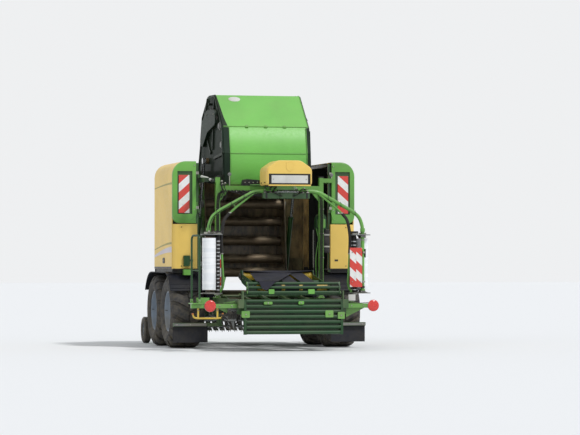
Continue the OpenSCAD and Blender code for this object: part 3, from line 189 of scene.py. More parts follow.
class Finish:
    """Nodes of one material, written in short steps."""

    def __init__(self, name):
        self.material = bpy.data.materials.new(name)
        self.material.use_nodes = True
        self.tree = self.material.node_tree
        self.shader = self.tree.nodes["Principled BSDF"]
        self.place = self.node("TexCoord").outputs["Object"]

    def put(self, node, inputs):
        """Sets inputs of a node, or links them where the value is another node's output."""
        for key, value in inputs.items():
            if isinstance(value, bpy.types.NodeSocket):
                self.tree.links.new(value, node.inputs[key])
            else:
                node.inputs[key].default_value = value

    def node(self, kind, inputs=None, **settings):
        made = self.tree.nodes.new("ShaderNode" + kind)
        for key, value in settings.items():
            setattr(made, key, value)
        self.put(made, inputs or {})
        return made

    def math(self, operation, a, b=0.0, clamp=False):
        return self.node("Math", {0: a, 1: b}, operation=operation, use_clamp=clamp).outputs[0]

    def plus(self, a, b, clamp=False):
        return self.math("ADD", a, b, clamp)

    def times(self, a, b, clamp=False):
        return self.math("MULTIPLY", a, b, clamp)

    def spread(self, value, low, high, start=0.0, end=1.0):
        """Maps low to start and high to end, smoothly, and holds beyond them."""
        inputs = {"Value": value, "From Min": low, "From Max": high, "To Min": start, "To Max": end}
        return self.node("MapRange", inputs, interpolation_type="SMOOTHSTEP").outputs["Result"]

    def noise(self, scale, detail=4, roughness=0.55, stretch=None):
        place = self.place
        if stretch:
            place = self.node("Mapping", {"Vector": place, "Scale": stretch}).outputs["Vector"]
        inputs = {"Vector": place, "Scale": scale, "Detail": detail, "Roughness": roughness}
        return self.node("TexNoise", inputs).outputs["Fac"]

    def mix(self, factor, a, b, blend="MIX"):
        return self.node("Mix", {0: factor, 6: a, 7: b}, data_type="RGBA", blend_type=blend).outputs[2]

    def dot(self, a, b):
        return self.node("VectorMath", {0: a, 1: b}, operation="DOT_PRODUCT").outputs["Value"]

    def axis(self, vector, letter):
        return self.node("SeparateXYZ", {0: vector}).outputs[letter]

    def up(self):
        """How far a face looks up, 0 to 1."""
        return self.spread(self.axis(self.node("NewGeometry").outputs["Normal"], "Z"), 0.15, 0.95)

    def low(self, top=1.5):
        """1 at the floor, falling to 0 at the height top."""
        return self.spread(self.axis(self.place, "Z"), top, 0.1)

    def corner(self, reach=0.07):
        """1 deep in a corner, 0 on open faces, from ambient occlusion; it lays grime and painted shade into corners.
        """
        made = self.node("AmbientOcclusion", {"Distance": reach}, samples=6)
        return self.spread(made.outputs["AO"], 0.75, 0.3)

    def edge(self):
        """1 on an outer edge, 0 on flat faces."""
        rounded_normal = self.node("Bevel", {"Radius": EDGE_REACH}, samples=4).outputs[0]
        return self.spread(self.dot(rounded_normal, self.node("NewGeometry").outputs["Normal"]), 0.985, 0.86)

    def facing(self, point):
        """1 on faces that look at a point given with its station, 0 on those that look away."""
        reach = self.node("VectorMath", {0: at(*point), 1: self.place}, operation="SUBTRACT")
        normal = self.node("TexCoord").outputs["Normal"]
        return self.spread(self.dot(reach.outputs[0], normal), 0.02, 0.08)

    def chaff(self, lift=1.0):
        """Brown dust and chopped grass smeared over worn sheet; a lift above 1 brightens it as painted light."""
        smear = self.spread(self.noise(7, 7, 0.7, stretch=(1, 0.35, 0.35)), 0.34, 0.66)
        tone = self.mix(smear, lit(shade(62, 52, 38), lift), lit(shade(122, 104, 74), lift))
        return self.mix(self.spread(self.noise(30, 6, 0.75), 0.5, 0.7, 0, 0.6), tone, shade(92, 98, 60))

    def bump(self, height, strength, distance=0.002):
        made = self.node("Bump", {"Height": height, "Strength": strength, "Distance": distance})
        self.put(self.shader, {"Normal": made.outputs[0]})

    def done(self, colour, roughness, metallic=0.0, coat=0.0, specular=None):
        self.put(self.shader, {"Base Color": colour, "Roughness": roughness, "Metallic": metallic,
                               "Coat Weight": coat, "Coat Roughness": 0.12})
        if specular is not None:
            self.put(self.shader, {"Specular IOR Level": specular})
        return self.material


def paint(name, colour, gloss=0.38, coat=0.25, dust=0.5, chips=0.5, streak=0.5, mottle=1.0, specular=None,
          inside=None, lining=None, chaff_lit_gain=1.0, sides=None):
    """Sprayed paint with slow tone changes, dust, rain streaks, grime and painted shade in corners, and chipped
    edges.

    Mottle is the depth of the tone changes. Faces that look at the point inside are covered with chaff,
    with a gain that brightens it as painted light, or take the inward colour. Sides gives the distance from the
    middle plane beyond which the paint takes a darker colour as painted shade, and that colour; a negative
    distance means the left side alone.
    """
    f = Finish(name)
    # Beyond the given distance the paint turns darker: painted shade on the side plates and the left upright
    if sides:
        start, shaded_side_colour = sides
        across = f.axis(f.place, "X")
        across = f.math("ABSOLUTE", across) if start > 0 else f.times(across, -1)
        plate = f.spread(across, abs(start) - 0.002, abs(start) - 0.001)
        colour = f.mix(plate, colour, shaded_side_colour)
    patch = f.noise(1.3, 5)
    fine = f.noise(38, 4)
    runs = f.noise(9, 5, stretch=(1, 1, 0.1))
    dull = 255 - 41 * mottle
    tone = f.mix(f.spread(patch, 0.32, 0.68), shade(dull, dull, dull), shade(255, 255, 255))
    tone = f.mix(1.0, colour, tone, "MULTIPLY")
    lie = f.plus(f.times(f.up(), 0.55 * dust), f.times(f.low(), 0.7 * dust))
    cloud = f.times(f.spread(f.noise(3.5, 5, 0.5), 0.3, 0.7), f.spread(fine, 0.2, 0.7, 0.75, 1))
    dusty = f.times(f.plus(lie, 0.1 * dust), cloud, clamp=True)
    ran = f.times(f.spread(runs, 0.52, 0.78), 0.35 * streak)
    base = f.mix(ran, tone, lit(DUST, 0.8))
    base = f.mix(dusty, base, DUST)
    # Grime and painted shade in corners, from ambient occlusion
    dirty = f.times(f.corner(), f.spread(fine, 0.25, 0.7, 0.35, 0.85))
    base = f.mix(dirty, base, GRIME_AND_SHADE)
    worn = f.times(f.edge(), f.spread(f.noise(26, 4, 0.7), 0.56, 0.66, 0, chips))
    base = f.mix(worn, base, BARE_STEEL)
    if inside:
        base = f.mix(f.facing(inside), base, lining or f.chaff(chaff_lit_gain))
    rough = f.plus(f.times(dusty, 0.4), f.spread(fine, 0.3, 0.7, gloss * 0.85, gloss * 1.2))
    # The shaded part is also rougher and reflects less
    if sides:
        rough = f.plus(rough, f.times(plate, 0.4), clamp=True)
        f.put(f.shader, {"Specular IOR Level": f.math("SUBTRACT", 0.5, f.times(plate, 0.35))})
    if dust > 0.3:
        f.bump(f.noise(150, 2), 0.03, 0.0008)
    return f.done(base, rough, coat=coat, specular=specular)


def rubber(name, colour, dust=0.6, grain=180, bump=0.25):
    """Matt rubber with a fine grain and dust on what looks up."""
    f = Finish(name)
    patch = f.noise(3.2, 6, 0.6)
    tone = f.mix(f.spread(patch, 0.35, 0.65), lit(colour, 0.7), lit(colour, 1.25))
    lie = f.plus(f.times(f.up(), 0.3 * dust), f.times(f.low(1.3), 0.5 * dust))
    cloud = f.spread(f.noise(11, 7, 0.7), 0.32, 0.68)
    dusty = f.times(f.plus(lie, 0.22 * dust), cloud, clamp=True)
    base = f.mix(dusty, tone, lit(DUST, 0.75))
    # Grime and painted shade in corners, from ambient occlusion
    base = f.mix(f.times(f.corner(0.05), 0.7), base, lit(GRIME_AND_SHADE, 0.6))
    f.bump(f.noise(grain, 4), bump, 0.002)
    return f.done(base, f.spread(patch, 0.3, 0.7, 0.62, 0.85), specular=0.35)


def metal(name, colour, rough=0.35, rust=0.2, dust=0.3, brushed=None):
    """Bare or plated steel; brushed is the stretch of its grain."""
    f = Finish(name)
    patch = f.noise(5, 5)
    grain = f.noise(90, 3, stretch=brushed or (1, 1, 1))
    tone = f.mix(f.spread(patch, 0.3, 0.7), lit(colour, 0.82), lit(colour, 1.12))
    tone = f.mix(f.spread(grain, 0.4, 0.75, 0, 0.35), tone, lit(colour, 0.6))
    spots = f.times(f.spread(f.noise(17, 6, 0.75), 0.55, 0.72), rust)
    base = f.mix(spots, tone, shade(96, 62, 40))
    lie = f.times(f.plus(f.times(f.up(), 0.5), 0.2), dust)
    dusty = f.times(lie, f.spread(f.noise(8, 6, 0.65), 0.3, 0.7))
    base = f.mix(dusty, base, DUST)
    # Grime and painted shade in corners, from ambient occlusion
    base = f.mix(f.times(f.corner(0.04), 0.6), base, GRIME_AND_SHADE)
    covered = f.plus(spots, dusty, clamp=True)
    shine = f.math("SUBTRACT", 0.9, covered, clamp=True)
    f.bump(grain, 0.12, 0.001)
    return f.done(base, f.plus(f.times(covered, 0.5), f.spread(grain, 0.3, 0.7, rough * 0.8, rough * 1.2)), shine)


def film_finish():
    """Stretch film wound in a slight spiral: milky, with fine bands along the roll."""
    f = Finish("film_white")
    bands = f.noise(14, 3, stretch=(0.05, 0.05, 1))
    wide = f.noise(3, 3, stretch=(0.3, 0.3, 1))
    tone = f.mix(f.spread(bands, 0.35, 0.7), shade(238, 241, 245), shade(248, 249, 251))
    tone = f.mix(f.spread(wide, 0.45, 0.75, 0, 0.15), tone, shade(222, 228, 236))
    f.bump(bands, 0.05, 0.0006)
    f.put(f.shader, {"Subsurface Weight": 0.15, "Subsurface Radius": (0.02, 0.02, 0.02)})
    return f.done(tone, f.spread(bands, 0.3, 0.7, 0.16, 0.34), coat=0.5)


STRIPE_LEAN = 0.9
STRIPE_PITCH = 0.245
# Distance from the middle plane to the fold of the rotor's boards, and the step of the stripes there
BOARD_FOLD = 0.982
STRIPE_STEP = 0.05


def stripe_finish():
    """Red and white diagonal bands of a reflecting board, worked out from its X and Z."""
    f = Finish("board_stripes")
    across = f.axis(f.place, "X")
    along = f.axis(f.place, "Z")
    away = f.math("ABSOLUTE", across)
    slope = f.times(away, STRIPE_LEAN)
    # The rotor's boards are folded, and the pattern of their inner half sits higher
    fold = f.times(f.math("LESS_THAN", away, BOARD_FOLD), STRIPE_STEP)
    place = f.plus(f.plus(slope, along), fold)
    phase = f.math("FRACT", f.math("DIVIDE", place, STRIPE_PITCH))
    red = f.spread(f.math("ABSOLUTE", f.math("SUBTRACT", phase, 0.5)), 0.245, 0.255)
    cells = f.node("TexVoronoi", {"Vector": f.place, "Scale": 160})
    faded = f.spread(f.noise(7, 5), 0.3, 0.7, 0.0, 0.2)
    base = f.mix(red, f.mix(faded, shade(214, 58, 48), shade(196, 92, 80)), f.mix(faded, shade(238, 238, 236), DUST))
    dirty = f.times(f.spread(f.noise(12, 6, 0.7), 0.5, 0.8), 0.5)
    base = f.mix(dirty, base, lit(DUST, 0.8))
    f.bump(cells.outputs["Distance"], 0.15, 0.001)
    return f.done(base, 0.32, coat=0.3)


def lens_finish(name, colour):
    """Moulded lens with a cell pattern and a faint glow of its own."""
    f = Finish(name)
    cells = f.node("TexVoronoi", {"Vector": f.place, "Scale": 110}, feature="DISTANCE_TO_EDGE")
    tone = f.mix(f.spread(cells.outputs["Distance"], 0.02, 0.2), lit(colour, 0.55), lit(colour, 1.1))
    f.bump(cells.outputs["Distance"], 0.5, 0.002)
    f.put(f.shader, {"Emission Color": colour, "Emission Strength": 0.12, "Subsurface Weight": 0.2,
                     "Subsurface Radius": (0.02, 0.01, 0.01)})
    return f.done(tone, 0.14, coat=0.8)


# Distance from the middle plane to the outer faces of the tailgate's side plates
SIDE_PLATE_X = 0.632
# The left upright takes a darker colour as painted shade beyond this distance
UPRIGHT_SHADE_X = -0.802
CHAMBER_MIDDLE = (0, 2.3, 1.68)
OPEN_GATE_MIDDLE = (0, 2.012, 2.745)
PANEL_MIDDLE = (1.2, 2.2, 1.85)
# Green of gate and hood, lighter than the green paint elsewhere as painted light
GATE_LIT_COLOUR = shade(114, 188, 82)
FRAME_COLOUR = shade(46, 92, 40)
SKIN_LOOK = dict(dust=0.12, streak=0.15, mottle=0.4)
PANEL_LOOK = dict(gloss=0.42, coat=0.08, dust=0.08, streak=0.05, specular=0.3, mottle=0.3)


def beige(name, **more):
    """Beige paint of panels and boxes."""
    return paint(name, shade(236, 200, 104), chips=0.12, **PANEL_LOOK, **more)


GREEN = paint("green_paint", shade(104, 172, 68), coat=0.3, dust=0.35)
# Chaff on the chamber's inner faces brightened as painted light
CHAMBER_GREEN = paint("chamber_green_paint", shade(84, 140, 58), inside=CHAMBER_MIDDLE, chaff_lit_gain=1.3)
# Gate skin in the lighter green of painted light, its side plates darker as painted shade
GATE_GREEN = paint("gate_lit_green_paint", GATE_LIT_COLOUR, coat=0.1, inside=OPEN_GATE_MIDDLE,
                   sides=(SIDE_PLATE_X, shade(16, 34, 22)), **SKIN_LOOK)
HOOD_GREEN = paint("hood_lit_green_paint", GATE_LIT_COLOUR, **SKIN_LOOK)
# Near-black green of the gate's edges, ribs and side fittings, as painted shade
GATE_SHADE = paint("gate_shade_paint", shade(18, 40, 26), gloss=0.5, coat=0.02, dust=0.12, chips=0.2, streak=0.2,
                  specular=0.2)
# Green of the portal, the outer part of its left upright darker as painted shade
PORTAL_GREEN = paint("portal_green_shaded_left_paint", shade(104, 168, 66), coat=0.35, sides=(UPRIGHT_SHADE_X, shade(26, 52, 32)))
DARK_GREEN = paint("dark_green_paint", FRAME_COLOUR, gloss=0.42, dust=0.4)
# Chaff on the side frames' inner faces brightened as painted light
FRAME_GREEN = paint("side_frame_paint", FRAME_COLOUR, gloss=0.42, dust=0.4, inside=CHAMBER_MIDDLE, chaff_lit_gain=1.7)
BEIGE = beige("beige_paint")
# Faces that look into a side panel are dark grey
PANEL_LEFT, PANEL_RIGHT = (
    beige(f"panel_{name}_paint", inside=(side * PANEL_MIDDLE[0],) + PANEL_MIDDLE[1:], lining=shade(44, 44, 42))
    for name, side in SIDES
)
OLIVE = paint("olive_band", shade(156, 146, 62), chips=0.0, **PANEL_LOOK)
LILAC = paint("pale_band", shade(206, 198, 206), chips=0.0, **PANEL_LOOK)
BLACK = paint("black_paint", shade(30, 31, 34), gloss=0.45, coat=0.1, dust=0.3, chips=0.4, specular=0.35)
YELLOW = paint("yellow_paint", shade(226, 188, 40), dust=0.4)
ORANGE = paint("orange_paint", shade(222, 120, 30), dust=0.3)
RIM_PAINT = paint("rim_paint", shade(140, 158, 178), gloss=0.4, dust=0.6, chips=0.3)
GREY_STEEL = paint("grey_steel", shade(128, 130, 128), gloss=0.45, coat=0.1)
PLATE_WHITE = paint("plate_white", shade(228, 228, 222), gloss=0.3, dust=0.25, chips=0.0)
CARDBOARD = paint("cardboard", shade(168, 132, 92), gloss=0.8, coat=0, dust=0.2, chips=0)
DUSTY_GREEN = paint("dusty_green_paint", shade(96, 92, 62), gloss=0.6, coat=0.05, dust=1.3, chips=0.3, streak=1.0)
NAVY = paint("navy_black_paint", shade(20, 23, 33), gloss=0.5, coat=0.02, dust=0.05, chips=0.2, streak=0.1,
             specular=0.2)
# Darker copy of the green paint for ramp, table, hoop and small boxes, as painted shade
RAMP_SHADED_GREEN = paint("ramp_shaded_green_paint", shade(30, 72, 36), gloss=0.4, coat=0.12, dust=0.08, streak=0.1, specular=0.35)
TYRE = rubber("tyre_rubber", shade(56, 56, 58), grain=90, bump=0.35)
HOSE = rubber("hose_black", shade(30, 30, 32), dust=0.35)
BELT = rubber("belt_black", shade(34, 35, 46), dust=0.1, grain=120, bump=0.12)
FLAP = rubber("flap_rubber", shade(36, 37, 43), dust=0.1)
BRIGHT = metal("bright_steel", shade(190, 192, 194), rough=0.22, rust=0.08, dust=0.15)
ZINC = metal("zinc_steel", shade(170, 170, 160), rough=0.38, rust=0.15)
WORN = metal("worn_steel", shade(112, 98, 80), rough=0.5, rust=0.7, dust=0.9, brushed=(0.1, 1, 1))
FILM = film_finish()
STRIPES = stripe_finish()
LAMP_RED = lens_finish("lamp_red", shade(214, 44, 34))


# Mesh kit

# Directions that bolts, fittings and turned forms look in
UP = (0, 0, 1)
REAR = (0, -1, 0)
AHEAD = (0, 1, 0)
FINE_EDGE = 0.0012


class Form:
    """Closed solids gathered into one piece, each with a finish; drawn with stations in place of Y."""

    def __init__(self, place=Matrix.Identity(4)):
        self.bm = bmesh.new()
        self.finishes = []
        self.place = STATIONS @ place

    def add(self, points, faces, finish):
        if finish not in self.finishes:
            self.finishes.append(finish)
        index = self.finishes.index(finish)
        verts = [self.bm.verts.new(self.place @ Vector(p)) for p in points]
        for corners in faces:
            face = self.bm.faces.new([verts[i] for i in corners])
            face.material_index = index
            face.smooth = True

    def loft(self, rings, finish, loop=False):
        """Walls between rings of equal length; a loop joins the last ring to the first, else both ends close."""
        n = len(rings[0])
        count = len(rings)
        faces = []
        for i in range(count if loop else count - 1):
            j = (i + 1) % count
            faces += [(i * n + k, i * n + (k + 1) % n, j * n + (k + 1) % n, j * n + k) for k in range(n)]
        if not loop:
            faces.append(tuple(range(n - 1, -1, -1)))
            faces.append(tuple((count - 1) * n + k for k in range(n)))
        self.add([p for ring in rings for p in ring], faces, finish)

    def prism(self, axis, outline, low, high, finish):
        """Outline pushed along an axis (0, 1, 2); its points give the other two axes in their order."""
        walls = sorted((low, high))
        self.loft([[tuple(p[:axis]) + (t,) + tuple(p[axis:]) for p in outline] for t in walls], finish)

    def box(self, low, high, finish):
        self.prism(2, rectangle(low[0], low[1], high[0], high[1]), low[2], high[2], finish)

    def beside(self, side, low, high, finish):
        """Box given for the right side, drawn on the side asked for."""
        x0, x1 = sorted((side * low[0], side * high[0]))
        self.box((x0, low[1], low[2]), (x1, high[1], high[2]), finish)

    def tube(self, route, radius, finish, sides=12, loop=False):
        """Round bar along a route; radius is a number or one for each point."""
        route = [Vector(p) for p in route]
        count = len(route)
        radii = radius if isinstance(radius, (list, tuple)) else [radius] * count
        heading = []
        for i in range(count):
            back = route[i - 1] if i or loop else route[0]
            ahead = route[(i + 1) % count] if i < count - 1 or loop else route[-1]
            into = (route[i] - back).normalized()
            out = (ahead - route[i]).normalized()
            heading.append((into + out).normalized())
        side = heading[0].orthogonal().normalized()
        rings = []
        for i, direction in enumerate(heading):
            side = (side - direction * side.dot(direction)).normalized()
            other = direction.cross(side)
            rings.append([route[i] + radii[i] * (side * c + other * s) for c, s in circle((0, 0), 1, sides)])
        self.loft(rings, finish, loop)

    def bar(self, start, end, radius, finish, sides=16):
        self.tube([start, end], radius, finish, sides)

    def hose(self, route, radius, finish=HOSE, steps=6):
        """Hose or pipe that flows through all points of a route."""
        self.tube(flowing(route, steps), radius, finish, 8)

    def hoop(self, centre, axis, radius, thick, finish, count, sides=8, wide=None):
        """Closed ring square to an axis (0, 1, 2); wide is its half width where it isn't round."""
        route = []
        for k in range(count):
            a = 2 * math.pi * k / count
            p = [(wide or radius) * math.cos(a), radius * math.sin(a)]
            p.insert(axis, 0)
            route.append(Vector(centre) + Vector(p))
        self.tube(route, thick, finish, sides, loop=True)

    def block_at(self, centre, size, turn, finish):
        """Small box of a size about its centre, turned about Z."""
        half = Vector(size) / 2
        ring = [(-half.x, -half.y), (half.x, -half.y), (half.x, half.y), (-half.x, half.y)]
        c, d = math.cos(turn), math.sin(turn)
        outline = [(centre[0] + c * x - d * y, centre[1] + d * x + c * y) for x, y in ring]
        self.prism(2, outline, centre[2] - half.z, centre[2] + half.z, finish)

    def lathe(self, centre, axis, profile, finish, sides=48, closed=False):
        """Turned form: profile lists place along the axis and radius; closed joins its last point to its first."""
        direction = Vector(axis).normalized()
        side = direction.orthogonal().normalized()
        other = direction.cross(side)
        turns = circle((0, 0), 1, sides)
        rings = [[Vector(centre) + direction * along + r * (side * c + other * s) for c, s in turns]
                 for along, r in profile]
        self.loft(rings, finish, closed)

    def turned(self, profile, finish, sides, closed=False):
        """Form turned about the X axis."""
        self.lathe((0, 0, 0), (1, 0, 0), profile, finish, sides, closed)

    def stud(self, centre, axis, radius, reach, stem, length, finish, sides):
        """Turned flange of a radius and reach on a thinner stem that ends at length."""
        self.lathe(centre, axis, [(0, radius), (reach, radius), (reach + 0.002, stem), (length, stem)], finish, sides)

    def bolt(self, place, axis, size, finish=ZINC):
        """Hexagon head on a washer; size is the width of the head."""
        place = Vector(place)
        axis = Vector(axis).normalized()
        self.tube([place - axis * 0.002, place + axis * size * 0.16], size * 0.72, finish, 14)
        self.tube([place + axis * size * 0.15, place + axis * size * 0.62], size * 0.56, finish, 6)
        self.tube([place + axis * size * 0.6, place + axis * size * 0.85], size * 0.3, finish, 10)

    def bolts(self, places, axis, size, finish=ZINC):
        for place in places:
            self.bolt(place, axis, size, finish)

    def as_object(self, name):
        """The form's solids as a new object."""
        bmesh.ops.recalc_face_normals(self.bm, faces=self.bm.faces)
        mesh = bpy.data.meshes.new(name)
        self.bm.to_mesh(mesh)
        self.bm.free()
        for finish in self.finishes:
            mesh.materials.append(finish)
        return placed(name, mesh)

    def done(self, name, body, slot, bevel=FINE_EDGE, segments=1, replaces=(), angle=40, cutter=None):
        """Makes the piece: its body, the nodes it replaces, its sharp edges and their bevel. The slot is not used."""
        piece = self.as_object(name)
        if cutter:
            cut(piece, cutter)
        piece.data.set_sharp_from_angle(angle=math.radians(angle))
        if bevel:
            soften(piece, bevel, segments, angle)
        if replaces:
            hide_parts(*replaces)
        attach(piece, body)
        return piece


def cut(piece, cutter):
    """Takes the closed solids of a form out of a piece."""
    knife = cutter.as_object("cutter")
    boolean = piece.modifiers.new("cut", "BOOLEAN")
    boolean.operation = "DIFFERENCE"
    boolean.object = knife
    boolean.solver = "EXACT"
    boolean.use_self = True
    boolean.material_mode = "TRANSFER"
    result = bpy.data.meshes.new_from_object(piece.evaluated_get(bpy.context.evaluated_depsgraph_get()))
    piece.modifiers.remove(boolean)
    piece.data = result
    bpy.data.objects.remove(knife)


def soften(piece, width, segments=1, angle=40):
    """Rounds the edges of a piece and keeps its flats flat."""
    bevel = piece.modifiers.new("edges", "BEVEL")
    bevel.width = width
    bevel.segments = segments
    bevel.limit_method = "ANGLE"
    bevel.angle_limit = math.radians(angle)
    bevel.harden_normals = True
    bevel.use_clamp_overlap = True


def rectangle(x0, y0, x1, y1):
    """Corners of a rectangle."""
    return [(x0, y0), (x1, y0), (x1, y1), (x0, y1)]


def circle(centre, radius, count, start=0.0):
    """Points spread evenly round a circle in a plane; start is in degrees."""
    turns = [2 * math.pi * k / count + math.radians(start) for k in range(count)]
    return [(centre[0] + radius * math.cos(a), centre[1] + radius * math.sin(a)) for a in turns]


def bend(start, corner, end, steps):
    """Points of the curve that takes a corner's place."""
    parts = [k / steps for k in range(steps + 1)]
    return [start * (1 - t) ** 2 + corner * 2 * t * (1 - t) + end * t ** 2 for t in parts]


def rounded(route, reach, steps=5, share=0.48):
    """Route with its inner corners rounded, starting reach before each corner, or a share of a short stretch."""
    route = [Vector(p) for p in route]
    out = [route[0]]
    for before, corner, after in zip(route, route[1:], route[2:]):
        into = corner - before
        away = after - corner
        taken = min(reach, into.length * share, away.length * share)
        out += bend(corner - into.normalized() * taken, corner, corner + away.normalized() * taken, steps)
    out.append(route[-1])
    return out


def flowing(route, steps=6):
    """Smooth curve through all points of a route."""
    pts = [Vector(p) for p in route]
    pts = [pts[0] * 2 - pts[1]] + pts + [pts[-1] * 2 - pts[-2]]
    out = []
    for a, b, c, d in zip(pts, pts[1:], pts[2:], pts[3:]):
        for k in range(steps):
            t = k / steps
            square, cube = 2 * a - 5 * b + 4 * c - d, 3 * b - a - 3 * c + d
            out.append(0.5 * (2 * b + (c - a) * t + square * t * t + cube * t ** 3))
    out.append(pts[-2])
    return out


def arc(centre, radius, start, end, steps=8):
    """Points of an arc in a plane, angles in degrees."""
    turns = [math.radians(start + (end - start) * k / steps) for k in range(steps + 1)]
    return [(centre[0] + radius * math.cos(a), centre[1] + radius * math.sin(a)) for a in turns]


def blunt(outline, radius, steps=4):
    """Closed outline with its corners rounded by about radius."""
    route = [outline[-1], *outline, outline[0]]
    return [tuple(p) for p in rounded(route, radius, steps, 0.45)[1:-1]]


# Finish and edge rounding of the CAD nodes that no piece replaces

NODE_LOOKS = (
    (DARK_GREEN, 0.003, "cylinder_barrel_left cylinder_barrel_right transfer_fork"),
    (DARK_GREEN, 0.004, "chassis_frame tow_eye"), (DARK_GREEN, 0.005, "axles"), (GREEN, 0.003, "pickup_frame"),
    (GREEN, 0.004, "lamp_brackets"), (GREEN, 0.006, "drawbar"), (GREEN, 0.01, "binding_box"),
    (GREY_STEEL, 0.003, "jack_leg"), (GREY_STEEL, 0.004, "valve_block"), (GREY_STEEL, 0.008, "gearbox"),
    (DUSTY_GREEN, 0.006, "infeed_housing"), (CHAMBER_GREEN, 0.004, "chamber_front"), (GATE_GREEN, 0.004, "tailgate"),
    (FRAME_GREEN, 0.004, "side_frames"), (PORTAL_GREEN, 0.005, "wrap_portal"),
    (RAMP_SHADED_GREEN, 0.003, "rear_ramp wrap_table"), (BEIGE, 0.008, "rear_boxes"),
    (PANEL_LEFT, 0.006, "side_panel_left"), (PANEL_RIGHT, 0.006, "side_panel_right"), (NAVY, 0.003, "mudguards"),
    (FLAP, 0.003, "mudflaps"), (WORN, 0.003, "chamber_rollers tailgate_rollers"), (BRIGHT, 0.002, "pickup_reel"),
    (BRIGHT, 0.003, "cylinder_rod_left cylinder_rod_right"), (PLATE_WHITE, 0.003, "number_plate"),
    (BELT, 0.002, "table_belts transfer_apron"),
)


WELD_REACH = 0.00005
FLAT_ANGLE = math.radians(0.8)
# Edges rounded wider than this take two steps
WIDE_EDGE = 0.005


def dress(node, finish, width):
    """Gives a CAD node its finish and, by modifiers alone, rounded edges."""
    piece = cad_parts[node]
    piece.data.materials.clear()
    piece.data.materials.append(finish)
    if piece.data.has_custom_normals:
        clear_normals(piece)
    piece.data.polygons.foreach_set("use_smooth", [True] * len(piece.data.polygons))
    weld = piece.modifiers.new("join", "WELD")
    weld.merge_threshold = WELD_REACH
    flat = piece.modifiers.new("flats", "DECIMATE")
    flat.decimate_type = "DISSOLVE"
    flat.angle_limit = FLAT_ANGLE
    if width:
        soften(piece, width, 2 if width > WIDE_EDGE else 1)


def clear_normals(piece):
    """Lets the modifiers work out a piece's normals afresh."""
    attribute = piece.data.attributes.get("custom_normal")
    if attribute:
        piece.data.attributes.remove(attribute)


for node_finish, edge_width, node_names in NODE_LOOKS:
    for node_name in node_names.split():
        dress(node_name, node_finish, edge_width)


# Wheels

LUG_DEPTH = 0.028
LUGS = 16
# Places along the pitch where a block's foot and top start and end, and its top's middle
LUG_EDGES = (-0.03, 0.0, 0.34, 0.68, 0.71)
# How far the blocks of one side are shifted against the other's, as a share of the pitch
LUG_STAGGER = 0.3
# Angle by which a block's outer end trails its middle
LUG_SWEEP = math.radians(14)
LUG_WEAR = 0.0015
RIM_WALL = 0.012
HUB_OUT = 0.08
HAND_HOLES = 5
HOLE_RING = 0.205
WHEEL_BOLTS = 10
BOLT_RING = 0.137


def both_ways(profile):
    """Closed profile from its half on the positive side."""
    return [(-a, r) for a, r in profile] + [(a, r) for a, r in reversed(profile)]


def wheel_place(node, side):
    """Place of a wheel piece with its outer side towards +X, its radius and half its width."""
    low, high = span(node)
    turn = sided(side)
    return Matrix.Translation((low + high) / 2) @ turn, (high.z - low.z) / 2, (high.x - low.x) / 2


def make_tyre(name, side):
    """Flotation tyre: slanted tread blocks over a rounded carcass with ribs on its sides."""
    place, radius, half = wheel_place(f"tyre_{name}", side)
    rim_low, rim_high = span(f"rim_{name}")
    seat = (rim_high.z - rim_low.z) / 2 + 0.001
    tread = radius - LUG_DEPTH
    form = Form(place)
    profile = [
        (half - 0.05, seat), (half - 0.028, seat + 0.012), (half - 0.014, seat + 0.04), (half - 0.005, seat + 0.075),
        (half - 0.01, seat + 0.08), (half - 0.003, seat + 0.088), (half, seat + 0.11), (half - 0.005, seat + 0.116),
        (half - 0.005, seat + 0.14), (half - 0.02, tread - 0.06), (half - 0.048, tread - 0.024),
        (half - 0.09, tread - 0.006), (0.09, tread), (0.0, tread + 0.002)
    ]
    form.turned(both_ways(profile), TYRE, 72, closed=True)
    # Outer and inner line of a block from the middle over the shoulder, as width and radius
    outer = [(0.004, radius), (0.06, radius), (0.11, radius), (half - 0.088, radius - 0.001),
             (half - 0.042, radius - 0.021), (half - 0.016, radius - 0.068), (half - 0.008, radius - 0.095)]
    inner = [(0.004, tread - 0.004), (0.06, tread - 0.004), (0.11, tread - 0.006), (half - 0.1, tread - 0.01),
             (half - 0.062, tread - 0.03), (half - 0.038, tread - 0.06), (half - 0.022, tread - 0.075)]
    rng = random.Random(name)
    pitch = 2 * math.pi / LUGS
    for way in (-1, 1):
        for i in range(LUGS):
            rings = []
            for (x, r), foot in zip(outer, inner):
                slant = LUG_SWEEP * x / half + (LUG_STAGGER * pitch if way > 0 else 0)
                top = (x, r + rng.uniform(-LUG_WEAR, 0.0))
                ring = []
                for edge, (at_x, at_r) in zip(LUG_EDGES, (foot, top, top, top, foot)):
                    a = (i + edge) * pitch + slant
                    ring.append((way * at_x, at_r * math.sin(a), at_r * math.cos(a)))
                rings.append(ring)
            form.loft(rings, TYRE)
    form.done(f"tread_{name}", f"wheel_{name}", "tyre_rubber", bevel=0.005, replaces=(f"tyre_{name}",), angle=50)


